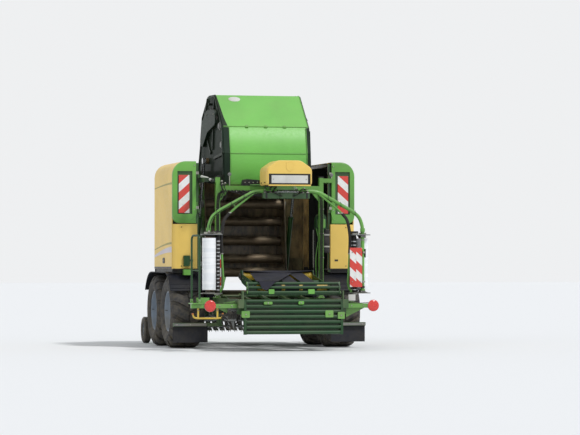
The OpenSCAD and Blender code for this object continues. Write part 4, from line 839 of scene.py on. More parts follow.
def make_rim(name, side):
    """Pressed rim with flanges, dished disc, hub, drum and nuts."""
    place, radius, half = wheel_place(f"rim_{name}", side)
    form = Form(place)
    inner = radius - RIM_WALL
    lip = 0.022
    barrel = [
        (-half, radius), (-half, inner), (-half + lip, inner - 0.006), (-0.09, inner - 0.008), (-0.06, inner - 0.03),
        (0.06, inner - 0.03), (0.09, inner - 0.008), (half - lip, inner - 0.006), (half, inner), (half, radius),
        (half - lip, radius), (0.08, radius), (0.05, inner - 0.012), (-0.05, inner - 0.012), (-0.08, radius),
        (-half + lip, radius)
    ]
    form.turned(barrel, RIM_PAINT, 64, closed=True)
    dish = [
        (0.044, 0.07), (0.044, 0.16), (0.05, 0.172), (0.07, 0.19), (0.076, 0.205), (0.07, 0.222),
        (0.05, inner - 0.026),
        (0.03, inner - 0.02), (0.03, inner - 0.034), (0.042, inner - 0.038), (0.058, 0.218), (0.062, 0.205),
        (0.058, 0.196),
        (0.036, 0.178), (0.03, 0.162), (0.03, 0.07)
    ]
    form.turned(dish, RIM_PAINT, 64, closed=True)
    # Hand holes, drawn as dark discs on the dish: painted shade where the openings are
    for y, z in circle((0, 0), HOLE_RING, HAND_HOLES, 36):
        form.bar((0.0625, y, z), (0.0785, y, z), 0.021, HOSE, 24)
    hub = [(-0.12, 0.092), (0.04, 0.095), (0.05, 0.095), (0.052, 0.08), (HUB_OUT - 0.014, 0.076),
           (HUB_OUT - 0.002, 0.066), (HUB_OUT, 0.03)]
    form.turned(hub, GREY_STEEL, 32)
    form.turned([(-0.118, 0.09), (-0.112, 0.16), (-0.02, 0.165), (-0.015, 0.09)], GREY_STEEL, 40)
    form.bolts([(0.044, y, z) for y, z in circle((0, 0), BOLT_RING, WHEEL_BOLTS)], (1, 0, 0), 0.026)
    form.tube([(half - 0.04, inner - 0.03, 0.01), (half - 0.004, inner - 0.024, 0.012)], 0.005, HOSE, 8)
    form.done(f"rim_dressed_{name}", f"wheel_{name}", "rim_paint", bevel=0.0015, replaces=(f"rim_{name}",))


def make_wheels():
    for row in ("rear", "front"):
        for name, side in SIDES:
            make_tyre(f"{row}_{name}", side)
            make_rim(f"{row}_{name}", side)


# Wrapping rotor

ROLL_CORE = 0.038
ROLL_WALL = 0.006
# Heights of the film units: underside of each plate, sheet thickness, floor and top of the unit
UNIT_PLATES = (0.795, 1.612)
UNIT_SHEET = 0.012
UNIT_LOW = 0.807
UNIT_TOP = 1.624
# Routes of arm and safety bow as distance from the axis and height, as the CAD arms run
ARM_PLANE = -0.02
ARM_ROUTE = ((0.20, 2.225), (0.37, 2.225), (0.47, 2.21), (0.94, 1.955), (1.05, 1.87), (1.09, 1.76), (1.1, 1.684),
             (1.1, 1.62))
BOW_ROUTE = ((0.44, 2.213), (0.75, 1.965), (0.88, 1.83), (0.922, 1.6), (0.905, 1.2), (0.885, 0.94), (0.905, 0.86),
             (0.935, 0.832), (0.935, 0.808))
ARM_WEB = ((0.44, 2.205), (0.6, 2.13), (0.585, 2.1), (0.5, 2.16))
CABLE_TIES = ((0.6, 2.14), (0.78, 2.042), (0.99, 1.924))
SLEEVE_ROUTE = ((0.8, 1.918), (0.88, 1.83), (0.922, 1.6), (0.912, 1.36))
ARM_R = 0.025
BOW_R = 0.016
# Distance from the rotor's axis to the posts that carry the film units
POST_X = 1.1


def in_place_of(node, name):
    """The right one of two pieces stands for the node that both replace."""
    return (node,) if name == "right" else ()


def upright(route):
    """Route of distance and height, set in the plane of an arm."""
    return [(x, ARM_PLANE, z) for x, z in route]


def make_arm(name, place):
    """Bent tube of an arm with its safety bow, post, clamps, cable and the bow's rubber sleeve."""
    form = Form(place)
    form.tube(rounded(upright(ARM_ROUTE), 0.1, 7), ARM_R, GREEN, 20)
    form.tube(rounded(upright(BOW_ROUTE), 0.12, 7), BOW_R, GREEN, 16)
    form.tube(upright([(POST_X, UNIT_LOW), (POST_X, UNIT_TOP)]), ARM_R, GREEN, 20)
    # Collars and clamps where the post meets the arm
    for z, radius, tall, finish in ((1.66, 0.034, 0.05, GREEN), (1.6, 0.031, 0.03, BLACK), (1.54, 0.029, 0.012, ZINC),
                             (0.87, 0.031, 0.03, BLACK), (0.835, 0.036, 0.02, GREEN)):
        form.tube(upright([(POST_X, z), (POST_X, z + tall)]), radius, finish, 20)
    form.box((POST_X, ARM_PLANE - 0.012, 1.575), (1.148, ARM_PLANE + 0.012, 1.6), ZINC)
    form.bolt((1.135, ARM_PLANE - 0.012, 1.5875), REAR, 0.014)
    # Saddle plates and bolts on the beam
    for x in (0.225, 0.3):
        form.box((x - 0.02, ARM_PLANE - 0.045, 2.2), (x + 0.02, ARM_PLANE + 0.045, 2.212), ZINC)
        form.bolts([(x, ARM_PLANE + way * 0.034, 2.212) for way in (-1, 1)], UP, 0.014)
        clamp = [(ARM_PLANE + 0.034 * c, 2.205 + 0.05 * s) for c, s in arc((0, 0), 1, 0, 180)]
        form.tube([(x, y, z) for y, z in clamp], 0.005, ZINC, 8)
    # Web between arm and bow
    form.prism(1, ARM_WEB, ARM_PLANE - 0.004, ARM_PLANE + 0.004, GREEN)
    form.bar((0.72, ARM_PLANE, 2.0), (0.745, ARM_PLANE, 2.052), 0.009, GREEN, 10)
    # Cable tied to the arm
    cable = [(x, ARM_PLANE + 0.03, z - 0.012) for x, z in ARM_ROUTE[1:7]]
    form.tube(rounded(cable, 0.1, 6), 0.0055, HOSE, 8)
    for x, z in CABLE_TIES:
        form.hoop((x, ARM_PLANE, z), 0, 0.036, 0.0028, HOSE, 12, 6, wide=0.038)
    form.done(f"arm_{name}", "rotor", "green_paint", bevel=0.0015, angle=42, replaces=in_place_of("wrap_arms", name))
    sleeve = Form(place)
    sleeve.tube(rounded(upright(SLEEVE_ROUTE), 0.1, 7), BOW_R + 0.006, HOSE, 14)
    for x, z in ((0.797, 1.922), (0.912, 1.352)):
        sleeve.tube(upright([(x, z - 0.008), (x, z + 0.008)]), BOW_R + 0.009, ZINC, 14)
    sleeve.done(f"bow_sleeve_{name}", "rotor", "rubber_black", bevel=0.001)


# Outline of a unit's plates, and the axes of its stretch rollers and of the film roll
UNIT_OUTLINE = ((0.925, -0.125), (1.125, -0.125), (1.22, -0.02), (1.222, 0.15), (1.17, 0.222), (1.06, 0.226),
                (0.925, 0.12))
STRETCH_PLACES = ((0.985, 0.07), (0.985, -0.005))
ROLL_X = 1.12
ROLL_Y = 0.12


def make_film_unit(name, place):
    """Plates with folded rims, stretch rollers with gears, spindle cones, latch and springs."""
    form = Form(place)
    for z in UNIT_PLATES:
        form.prism(2, blunt(UNIT_OUTLINE, 0.03), z, z + UNIT_SHEET, GREY_STEEL)
    for x, y in STRETCH_PLACES:
        form.lathe((x, y, UNIT_LOW), UP, [(0, 0.028), (0.012, 0.03), (0.78, 0.03), (0.79, 0.026), (0.805, 0.026)],
                   HOSE, 28)
        for k in range(14):
            form.lathe((x, y, 0.84 + k * 0.052), UP, [(0, 0.0299), (0.004, 0.0312), (0.012, 0.0312), (0.016, 0.0299)],
                       BRIGHT, 28)
        form.lathe((x, y, UNIT_TOP), UP, [(0, 0.05), (0.018, 0.05), (0.02, 0.018), (0.034, 0.016)], ZINC, 24)
        form.lathe((x, y, UNIT_PLATES[0]), (0, 0, -1), [(0, 0.04), (0.014, 0.04), (0.016, 0.012), (0.024, 0.01)],
                   ZINC, 20)
    form.lathe((ROLL_X, ROLL_Y, UNIT_LOW), UP,
               [(0, 0.085), (0.008, 0.085), (0.01, 0.05), (0.024, 0.0365), (0.804, 0.0365)], GREY_STEEL, 32)
    form.lathe((ROLL_X, ROLL_Y, UNIT_PLATES[1]), (0, 0, -1), [(0, 0.06), (0.01, 0.06), (0.03, 0.04)], HOSE, 28)
    form.lathe((ROLL_X, ROLL_Y, UNIT_TOP), UP, [(0, 0.03), (0.02, 0.03), (0.022, 0.014), (0.05, 0.012)], ZINC, 20)
    # Bracket of the plates on the post, top and bottom
    for z in (0.81, 1.585):
        form.box((1.07, -0.06, z), (1.13, 0.03, z + 0.025), GREY_STEEL)
        form.bolts([(x, -0.058, z + 0.0125) for x in (1.075, 1.125)], REAR, 0.014)
    # Roll brake with its spring
    form.box((1.16, 0.16, UNIT_TOP), (1.2, 0.2, 1.65), ZINC)
    spring = [(1.03 + 0.0011 * k, 0.16 + 0.009 * math.cos(k * 0.9), 1.642 + 0.009 * math.sin(k * 0.9))
              for k in range(110)]
    form.tube(spring, 0.0018, ZINC, 6)
    # Cover over the gears
    form.prism(2, blunt(rectangle(0.935, -0.05, 1.035, 0.115), 0.03), 1.646, 1.668, BLACK)
    # Counter and plain tag on the post's side
    form.box((1.125, -0.045, 1.3), (1.14, 0.0, 1.42), BLACK)
    form.box((1.1395, -0.038, 1.31), (1.1415, -0.007, 1.4), YELLOW)
    form.done(f"film_unit_{name}", "rotor", "grey_steel", replaces=in_place_of("film_units", name))


# Width of one half of a board, from its fold to its edge
BOARD_HALF = 0.089


def make_board(name, place):
    """Folded striped board with its stiffening rod, brackets and bolts."""
    low, high = span("warning_boards")
    x0, x1 = BOARD_FOLD - BOARD_HALF, BOARD_FOLD + BOARD_HALF
    y1 = low.y + 0.012
    form = Form(place)
    # Two halves that meet in a fold, the middle nearest to the viewer
    for edge in (x0, x1):
        rings = []
        for z in (low.z, high.z):
            rings.append([(BOARD_FOLD, low.y + 0.001, z), (edge, low.y + 0.008, z), (edge, y1, z),
                          (BOARD_FOLD, y1, z)])
        form.loft(rings, STRIPES)
    form.tube([(x0 + 0.004, y1 + 0.004, low.z + 0.02), (x0 + 0.004, y1 + 0.004, high.z - 0.02)], 0.004, ZINC, 8)
    for z in (low.z + 0.06, high.z - 0.08):
        form.box((x0 + 0.02, y1, z), (x1 - 0.01, y1 + 0.006, z + 0.03), ZINC)
        form.box((POST_X - 0.015, y1, z + 0.002), (POST_X + 0.015, ARM_PLANE - ARM_R, z + 0.028), ZINC)
        for x in (x0 + 0.035, x1 - 0.03):
            form.bolt((x, low.y + 0.001, z + 0.015), REAR, 0.011)
    form.done(f"board_{name}", "rotor", "board_stripes", replaces=in_place_of("warning_boards", name))


def make_roll(name):
    """Film wound in layers on a cardboard core."""
    low, high = span(f"film_roll_{name}")
    centre = (low + high) / 2
    radius = (high.x - low.x) / 2
    foot = Vector((centre.x, centre.y, low.z))
    tall = high.z - low.z
    rng = random.Random(f"roll {name}")
    form = Form()
    bare = 0.016
    skin = [(bare + (tall - 2 * bare) * k / 8, radius - rng.uniform(0, 0.0006)) for k in range(9)]
    ends = [(bare + 0.004 * (i % 2), radius - 0.006 * i) for i in range(1, 9)]
    core = ROLL_CORE + 0.0002
    profile = [(bare, core + ROLL_WALL)] + list(reversed(ends)) + skin
    profile += [(tall - a, r) for a, r in ends] + [(tall - bare, core + ROLL_WALL), (tall - bare, core), (bare, core)]
    form.lathe(foot, UP, profile, FILM, 56, closed=True)
    form.lathe(foot, UP, [(0, core), (0, core + ROLL_WALL), (tall, core + ROLL_WALL), (tall, core)], CARDBOARD, 40,
               closed=True)
    form.done(f"film_wound_{name}", f"film_{name}", "film_white", bevel=0.0, replaces=(f"film_roll_{name}",),
              angle=60)


GEAR_TEETH = 60


def make_hub():
    """Slip ring, motor, gear ring and hoses round the rotor's hub."""
    form = Form()
    low, high = span("wrap_rotor")
    top = low.z + 0.08
    form.prism(1, blunt(rectangle(-0.33, low.z, 0.33, top), 0.012, 3), -0.05, 0.05, DARK_GREEN)
    form.lathe((0, 0, low.z), UP,
               [(0, 0.118), (0.08, 0.12), (0.082, 0.16), (0.1, 0.16), (0.102, 0.118), (0.112, 0.118)], DARK_GREEN, 48)
    form.bolts([(x, y, low.z + 0.1) for x, y in circle((0, 0), 0.14, 12)], UP, 0.012)
    for x, y in circle((0, 0), 0.163, GEAR_TEETH):
        form.block_at((x, y, low.z + 0.091), (0.012, 0.008, 0.016), math.atan2(y, x), BRIGHT)
    form.bar((0, 0, low.z + 0.1), (0, 0, high.z), 0.0395, BRIGHT, 32)
    form.box((-0.09, -0.075, low.z), (0.09, -0.05, low.z + 0.06), BLACK)
    for x in (-0.07, 0.0, 0.07):
        form.bar((x, -0.055, low.z + 0.03), (x, -0.09, low.z + 0.03), 0.008, ZINC, 10)
    for side in (-1, 1):
        form.beside(side, (0.278, -0.055, low.z + 0.004), (0.302, 0.055, low.z + 0.084), BLACK)
        pipe = [(side * 0.07, -0.085, low.z + 0.03), (side * 0.12, -0.1, low.z + 0.045),
                (side * 0.22, -0.075, low.z + 0.09), (side * 0.33, -0.03, low.z + 0.11)]
        form.hose(pipe, 0.0065)
    form.done("rotor_hub", "rotor", "dark_green_paint", bevel=0.0015, replaces=("wrap_rotor",))


def make_rotor():
    for name, place in (("right", Matrix.Identity(4)), ("left", HALF_TURN)):
        make_arm(name, place)
        make_film_unit(name, place)
        make_board(name, place)
    for name, _ in SIDES:
        make_roll(name)
    make_hub()


make_wheels()
make_rotor()


# Tailgate

GATE_ANGLE = math.radians(-75)
HINGE = Vector((0, 2.85, 2.4))
GATE = Matrix.Translation(HINGE) @ Matrix.Rotation(GATE_ANGLE, 4, "X") @ Matrix.Translation(-HINGE)
CHAMBER_CENTRE = Vector((2.3, 1.68))
# Corners of the tailgate's skin with the gate closed, as station and height, from its lower edge to the hinge
SKIN = ((2.471, 0.793), (2.037, 0.91), (1.696, 1.105), (1.369, 1.782), (1.48, 2.24), (1.881, 2.608), (2.33, 2.622),
        (2.831, 2.716))
ROLLER_RING = 0.7
GATE_ROLLERS = (110, 136, 162, 188, 214, 240)
FRONT_ROLLERS = (-58, -34, -10, 14, 38)


def bearing(form, face, side, degrees, radius, thick):
    """Flanged bearing of a roller with its four bolts on a wall of the chamber."""
    a = math.radians(degrees)
    spot = CHAMBER_CENTRE + ROLLER_RING * Vector((math.cos(a), math.sin(a)))
    profile = [(0, radius), (thick, radius), (thick + 0.004, 0.046), (thick + 0.022, 0.042), (thick + 0.026, 0.02)]
    form.lathe((face - side * 0.002, *spot), (side, 0, 0), profile, GREY_STEEL, 24)
    heads = [(face + side * (thick - 0.002), y, z) for y, z in circle(spot, radius - 0.01, 4, 45)]
    form.bolts(heads, (side, 0, 0), 0.013)


def outward(a, b):
    """Direction along a stretch of skin and the one that leads away from the chamber."""
    along = (b - a).normalized()
    out = Vector((along.y, -along.x))
    return along, out if out.dot(a - CHAMBER_CENTRE) > 0 else -out


def on_skin(form, a, b, x0, x1, low, high, finish, start=0.0, end=0.0):
    """Plate over the skin from corner a to corner b, shortened by start and end, low to high above it."""
    a, b = Vector(a), Vector(b)
    along, out = outward(a, b)
    a, b = a + along * start, b - along * end
    outline = [tuple(p) for p in (a + out * low, b + out * low, b + out * high, a + out * high)]
    form.prism(0, outline, x0, x1, finish)


HOOD_HALF = 0.628
# Corners of the dark wedge on the hood's left, as X and share of the way along the sheet
WEDGE = ((-0.629, 0.0), (-0.556, 0.0), (-0.585, 0.28), (-0.6, 0.62), (-0.615, 0.97), (-0.629, 0.97))


def make_gate_trim():
    """Hood sheet, seams, tabs, edge sheets and wedge darkened as painted shade, and the blank tag of the raised
    tailgate.
    """
    form = Form(GATE)
    p0, p1, p2, p3, p4 = SKIN[:5]
    on_skin(form, p2, p3, -HOOD_HALF, HOOD_HALF, 0.0, 0.005, HOOD_GREEN, start=0.012)
    on_skin(form, p3, p4, -HOOD_HALF, HOOD_HALF, 0.0, 0.005, HOOD_GREEN)
    # Rolled lower edge of the hood and three tabs on it
    along, out = outward(Vector(p2), Vector(p3))
    edge = Vector(p2) + along * 0.012 + out * 0.006
    form.bar((-HOOD_HALF, edge.x, edge.y), (HOOD_HALF, edge.x, edge.y), 0.007, GREEN, 12)
    for x in (-0.28, 0.0, 0.28):
        on_skin(form, p2, p3, x - 0.022, x + 0.022, 0.0, 0.016, GREEN, start=-0.008,
                end=(Vector(p3) - Vector(p2)).length - 0.03)
        form.bolt((x, edge.x + out.x * 0.008, edge.y + out.y * 0.008), (0, out.x, out.y), 0.012)
    # Flanges where the lower sheets meet
    along, out = outward(Vector(p0), Vector(p1))
    form.bar((-0.54, p1[0] + out.x * 0.002, p1[1] + out.y * 0.002),
             (0.572, p1[0] + out.x * 0.002, p1[1] + out.y * 0.002), 0.006, GREEN, 10)
    on_skin(form, p0, p1, -0.54, 0.572, 0.0, 0.006, GREEN, start=0.0, end=(Vector(p1) - Vector(p0)).length - 0.03)
    for side in (-1, 1):
        # Edge sheet dark as painted shade, wider on the left, with a turned lip along it
        inner = 0.546 if side < 0 else 0.594
        low, high = sorted((side * inner, side * 0.631))
        on_skin(form, p0, p1, low, high, 0.0, 0.01, GATE_SHADE, start=0.01)
        on_skin(form, p1, p2, low, high, 0.0, 0.01, GATE_SHADE, end=0.005)
        low, high = sorted((side * (inner - 0.006), side * (inner + 0.002)))
        on_skin(form, p0, p1, low, high, 0.0, 0.014, GREEN, start=0.01)
        on_skin(form, p1, p2, low, high, 0.0, 0.014, GREEN, end=0.005)
        # The outer strips are dark as painted shade on the left and green on the right
        low, high = sorted((side * 0.624, side * 0.631))
        for a, b in zip(SKIN[2:], SKIN[3:]):
            on_skin(form, a, b, low, high, 0.0, 0.012, GATE_SHADE if side < 0 else GREEN)
        for a, b in zip(SKIN[3:6], SKIN[4:7]):
            for share in (0.25, 0.75):
                spot = Vector(a).lerp(Vector(b), share)
                along, out = outward(Vector(a), Vector(b))
                form.bolt((side * 0.6, spot.x + out.x * 0.002, spot.y + out.y * 0.002), (0, out.x, out.y), 0.014)
    # Dark wedge of painted shade where the hood meets the left side plate
    along, out = outward(Vector(p2), Vector(p3))
    reach = (Vector(p3) - Vector(p2)).length
    wedge = []
    for x, share in WEDGE:
        spot = Vector(p2) + along * reach * share + out * 0.004
        wedge.append((x, spot.x, spot.y))
    form.loft([wedge, [(x, y + out.x * 0.003, z + out.y * 0.003) for x, y, z in wedge]], GATE_SHADE)
    # Blank oval tag near the upper left corner
    spot = Vector(p2) + along * 0.66 + out * 0.005
    oval = [(0.088 * c - 0.36, spot.x + along.x * 0.055 * s, spot.y + along.y * 0.055 * s)
            for c, s in circle((0, 0), 1, 28)]
    form.loft([oval, [(x, y + out.x * 0.002, z + out.y * 0.002) for x, y, z in oval]], PLATE_WHITE)
    form.done("gate_trim", "tailgate", "green_paint")


# Station and height of the grease lines and the chain guard on the closed gate's sides
GREASE_LINE = ((1.62, 1.35), (1.56, 1.7), (1.62, 2.05), (1.85, 2.36), (2.2, 2.46), (2.6, 2.5))
CHAIN_GUARD = ((1.52, 1.5), (1.72, 1.42), (1.96, 1.96), (2.26, 2.26), (2.24, 2.44), (1.94, 2.42), (1.66, 2.1))


def make_gate_sides():
    """Ribs, bearings, chain guard, grease lines and lifting ring on the tailgate's side plates, the dark ones as
    painted shade.
    """
    form = Form(GATE)
    for side in (-1, 1):
        face = side * SIDE_PLATE_X
        for a, b in ((SKIN[1], CHAMBER_CENTRE), (SKIN[3], CHAMBER_CENTRE), (SKIN[5], CHAMBER_CENTRE),
                     (SKIN[4], SKIN[6]), (SKIN[2], SKIN[0])):
            start, end = Vector(a), Vector(b)
            along = (end - start).normalized()
            wide = Vector((-along.y, along.x)) * 0.02
            start = start + along * 0.05
            end = end - along * 0.14
            outline = [tuple(p) for p in (start - wide, end - wide, end + wide, start + wide)]
            form.prism(0, outline, face, face + side * 0.022, GATE_SHADE)
        for degrees in GATE_ROLLERS:
            bearing(form, face, side, degrees, 0.062, 0.01)
        # Rim strip along the outer edge
        for a, b in zip(SKIN[1:], SKIN[2:]):
            a, b = Vector(a), Vector(b)
            along, out = outward(a, b)
            outline = [tuple(p) for p in (a - out * 0.004, b - out * 0.004, b - out * 0.026, a - out * 0.026)]
            form.prism(0, outline, face, face + side * 0.016, GATE_SHADE)
        for k in range(3):
            route = [(face + side * (0.03 + 0.007 * k), y + 0.012 * k, z - 0.01 * k) for y, z in GREASE_LINE]
            form.tube(flowing(route, 5), 0.0032, HOSE, 6)
    # Chain guard on the left side
    face = -SIDE_PLATE_X
    form.prism(0, blunt(CHAIN_GUARD, 0.06), face - 0.055, face - 0.001, GATE_SHADE)
    form.bolts([(face - 0.055, y, z) for y, z in ((1.6, 1.55), (1.72, 2.06), (2.18, 2.36))], (-1, 0, 0), 0.018)
    # Lifting ring at the upper rear corner
    form.hoop((face - 0.045, 1.5, 1.98), 0, 0.045, 0.009, GATE_SHADE, 20, 10)
    form.box((face - 0.055, 1.53, 1.96), (face, 1.56, 2.0), GATE_SHADE)
    form.done("gate_side_fittings", "tailgate", "dark_green_paint", bevel=0.0015)


# Hub cover

HUB_HALF = 0.325
HUB_FLOOR = 2.3
HUB_TOP = 2.65


def make_hub_cover():
    """Moulded cover with a chamfered rear face, a sunk field for the plate and a shallow blank shield."""
    low, high = span("hub_cover")
    form = Form()
    outer = blunt([(-HUB_HALF, HUB_FLOOR), (HUB_HALF, HUB_FLOOR), (HUB_HALF, 2.54), (0.165, HUB_TOP),
                   (-0.165, HUB_TOP), (-HUB_HALF, 2.54)], 0.045, 5)
    middle = Vector((0, 2.46))
    rings = []
    for station, by in ((high.y, 0.04), (high.y - 0.02, 0.0), (low.y + 0.05, 0.0), (low.y + 0.018, 0.012),
                        (low.y, 0.06)):
        drawn_in = [middle + (Vector(p) - middle) * (1 - by) for p in outer]
        rings.append([(p.x, station, p.y) for p in drawn_in])
    form.loft(rings, BEIGE)
    cutter = Form()
    cutter.box((-0.3, low.y + 0.03, 2.2), (0.3, high.y - 0.02, 2.5), BLACK)
    cutter.box((-0.13, 0.0, 2.2), (0.13, high.y + 0.05, 2.48), BLACK)
    cutter.box((-0.297, low.y - 0.02, 2.312), (0.297, low.y + 0.008, 2.462), BLACK)
    form.done("hub_cover_moulded", "frame", "beige_paint", bevel=0.004, segments=2, replaces=("hub_cover",),
              cutter=cutter)
    trim = Form()
    # Plate frame, lip, shield and screws
    trim.box((-0.296, low.y + 0.002, 2.313), (0.296, low.y + 0.0095, 2.461), BLACK)
    trim.box((-0.3, low.y - 0.012, 2.292), (0.3, low.y + 0.02, 2.31), BEIGE)
    shield = blunt([(-0.05, 2.62), (0.05, 2.62), (0.05, 2.53), (0.0, 2.485), (-0.05, 2.53)], 0.02)
    trim.prism(1, shield, low.y - 0.004, low.y + 0.006, BEIGE)
    trim.bolts([(x, low.y - 0.008, 2.385) for x in (-0.235, 0.235)], REAR, 0.01)
    for side in (-1, 1):
        for y in (-0.12, 0.12):
            trim.bolt((side * HUB_HALF, y, 2.34), (side, 0, 0), 0.016, BLACK)
    trim.done("hub_cover_trim", "frame", "beige_paint", bevel=0.0015)


# Distance from the middle plane to the outer faces of panels, covers and boxes, and their stations
PANEL_X = 1.35
PANEL_REAR = 1.47
PANEL_FRONT = 2.83
COVER_REAR = 1.4


# Rear covers with their sunk striped boards

def make_rear_cover(name, side):
    """Pressed cover with a striped board sunk into it, a handle bar and hinge knuckles."""
    turn = sided(side)
    form = Form(turn)
    inner, foot, out, top = 1.005, 1.79, PANEL_X, 2.69
    rear, front = COVER_REAR, COVER_REAR + 0.04
    crown = arc((out - 0.2, top - 0.2), 0.2, 0, 90, 8)
    heel = arc((out - 0.11, foot + 0.11), 0.11, -90, 0, 6)
    outline = heel + crown + [(inner, top), (inner, foot)]
    middle = Vector((1.2, 2.25))
    rings = []
    for station, by in ((front, 0.0), (rear + 0.022, 0.0), (rear + 0.006, 0.012), (rear, 0.045)):
        drawn_in = [middle + (Vector(p) - middle) * (1 - by) for p in outline]
        rings.append([(inner if p[0] == inner else q.x, station, q.y) for p, q in zip(outline, drawn_in)])
    form.loft(rings, GREEN)
    cutter = Form(turn)
    cutter.box((1.06, rear - 0.02, 1.93), (1.278, rear + 0.024, 2.545), DARK_GREEN)
    form.done(f"rear_cover_pressed_{name}", f"cover_{name}", "green_paint", bevel=0.003,
              replaces=(f"rear_cover_{name}",), cutter=cutter)
    trim = Form(turn)
    trim.box((1.1, rear + 0.012, 1.943), (1.256, rear + 0.023, 2.49), STRIPES)
    # Inner raised strip, handle bar and hinge knuckles
    strip = blunt([(1.01, 1.83), (1.06, 1.83), (1.06, 2.44), (1.01, 2.5)], 0.015)
    trim.prism(1, strip, rear - 0.002, rear + 0.006, GREEN)
    handle = [(1.1, rear + 0.004, 1.84), (1.03, rear - 0.001, 1.86), (1.0, rear + 0.004, 1.95),
              (0.99, rear + 0.01, 2.1)]
    trim.hose(handle, 0.006, GREEN)
    for z in (1.95, 2.45):
        knuckle = (0.972, rear - 0.002, z + 0.0503)
        trim.bar(knuckle, (0.972, rear - 0.002, z + 0.0903), 0.01, ZINC)
        trim.box(knuckle, (1.006, rear + 0.006, z + 0.0903), ZINC)
    trim.bolts([(1.03, rear, z) for z in (1.99, 2.63)], REAR, 0.014)
    trim.done(f"rear_cover_trim_{name}", f"cover_{name}", "board_stripes", bevel=0.001)


# Side panels

# Height at the rear, fall to the front, width, thickness and finish of each painted band
PANEL_BANDS = ((1.525, 0.1, 0.032, 0.0016, OLIVE), (1.46, 0.12, 0.085, 0.0014, LILAC),
               (2.385, 0.055, 0.03, 0.0016, OLIVE))


def make_panel_trim(name, side):
    """Lower seal, latch, painted bands and stiffeners of a side panel."""
    turn = sided(side)
    form = Form(turn)
    out = PANEL_X
    form.box((out - 0.004, PANEL_REAR, 1.142), (out + 0.004, PANEL_FRONT, 1.17), BLACK)
    # Latch with its pull
    form.prism(0, blunt(rectangle(2.0, 1.22, 2.16, 1.3), 0.03), out - 0.002, out + 0.006, BLACK)
    form.bar((out + 0.005, 2.08, 1.26), (out + 0.012, 2.08, 1.26), 0.016, ZINC, 16)
    # Painted bands: an olive line over a pale field, and one high olive line
    steps = [k / 12 for k in range(13)]
    for rise, drop, thick, high, finish in PANEL_BANDS:
        line = [(PANEL_REAR + (PANEL_FRONT - PANEL_REAR) * t, rise - drop * t ** 1.5) for t in steps]
        band = line + [(y, z - thick * (1 - 0.6 * t)) for (y, z), t in reversed(list(zip(line, steps)))]
        form.prism(0, band, out - 0.001, out + high, finish)
    # Stiffeners inside
    for y in (1.75, 2.5):
        form.box((out - 0.05, y - 0.015, 1.2), (out - 0.013, y + 0.015, 2.5), BEIGE)
    form.done(f"panel_trim_{name}", f"panel_{name}", "beige_paint", bevel=0.0015)


make_gate_trim()
make_gate_sides()
make_hub_cover()
for side_name, side_sign in SIDES:
    make_rear_cover(side_name, side_sign)
    make_panel_trim(side_name, side_sign)


# Wrapper frame

# Distance from the middle plane to the portal's uprights
UPRIGHT_X = 0.76
# Height of the cross beam's underside
BEAM_FOOT = 2.262


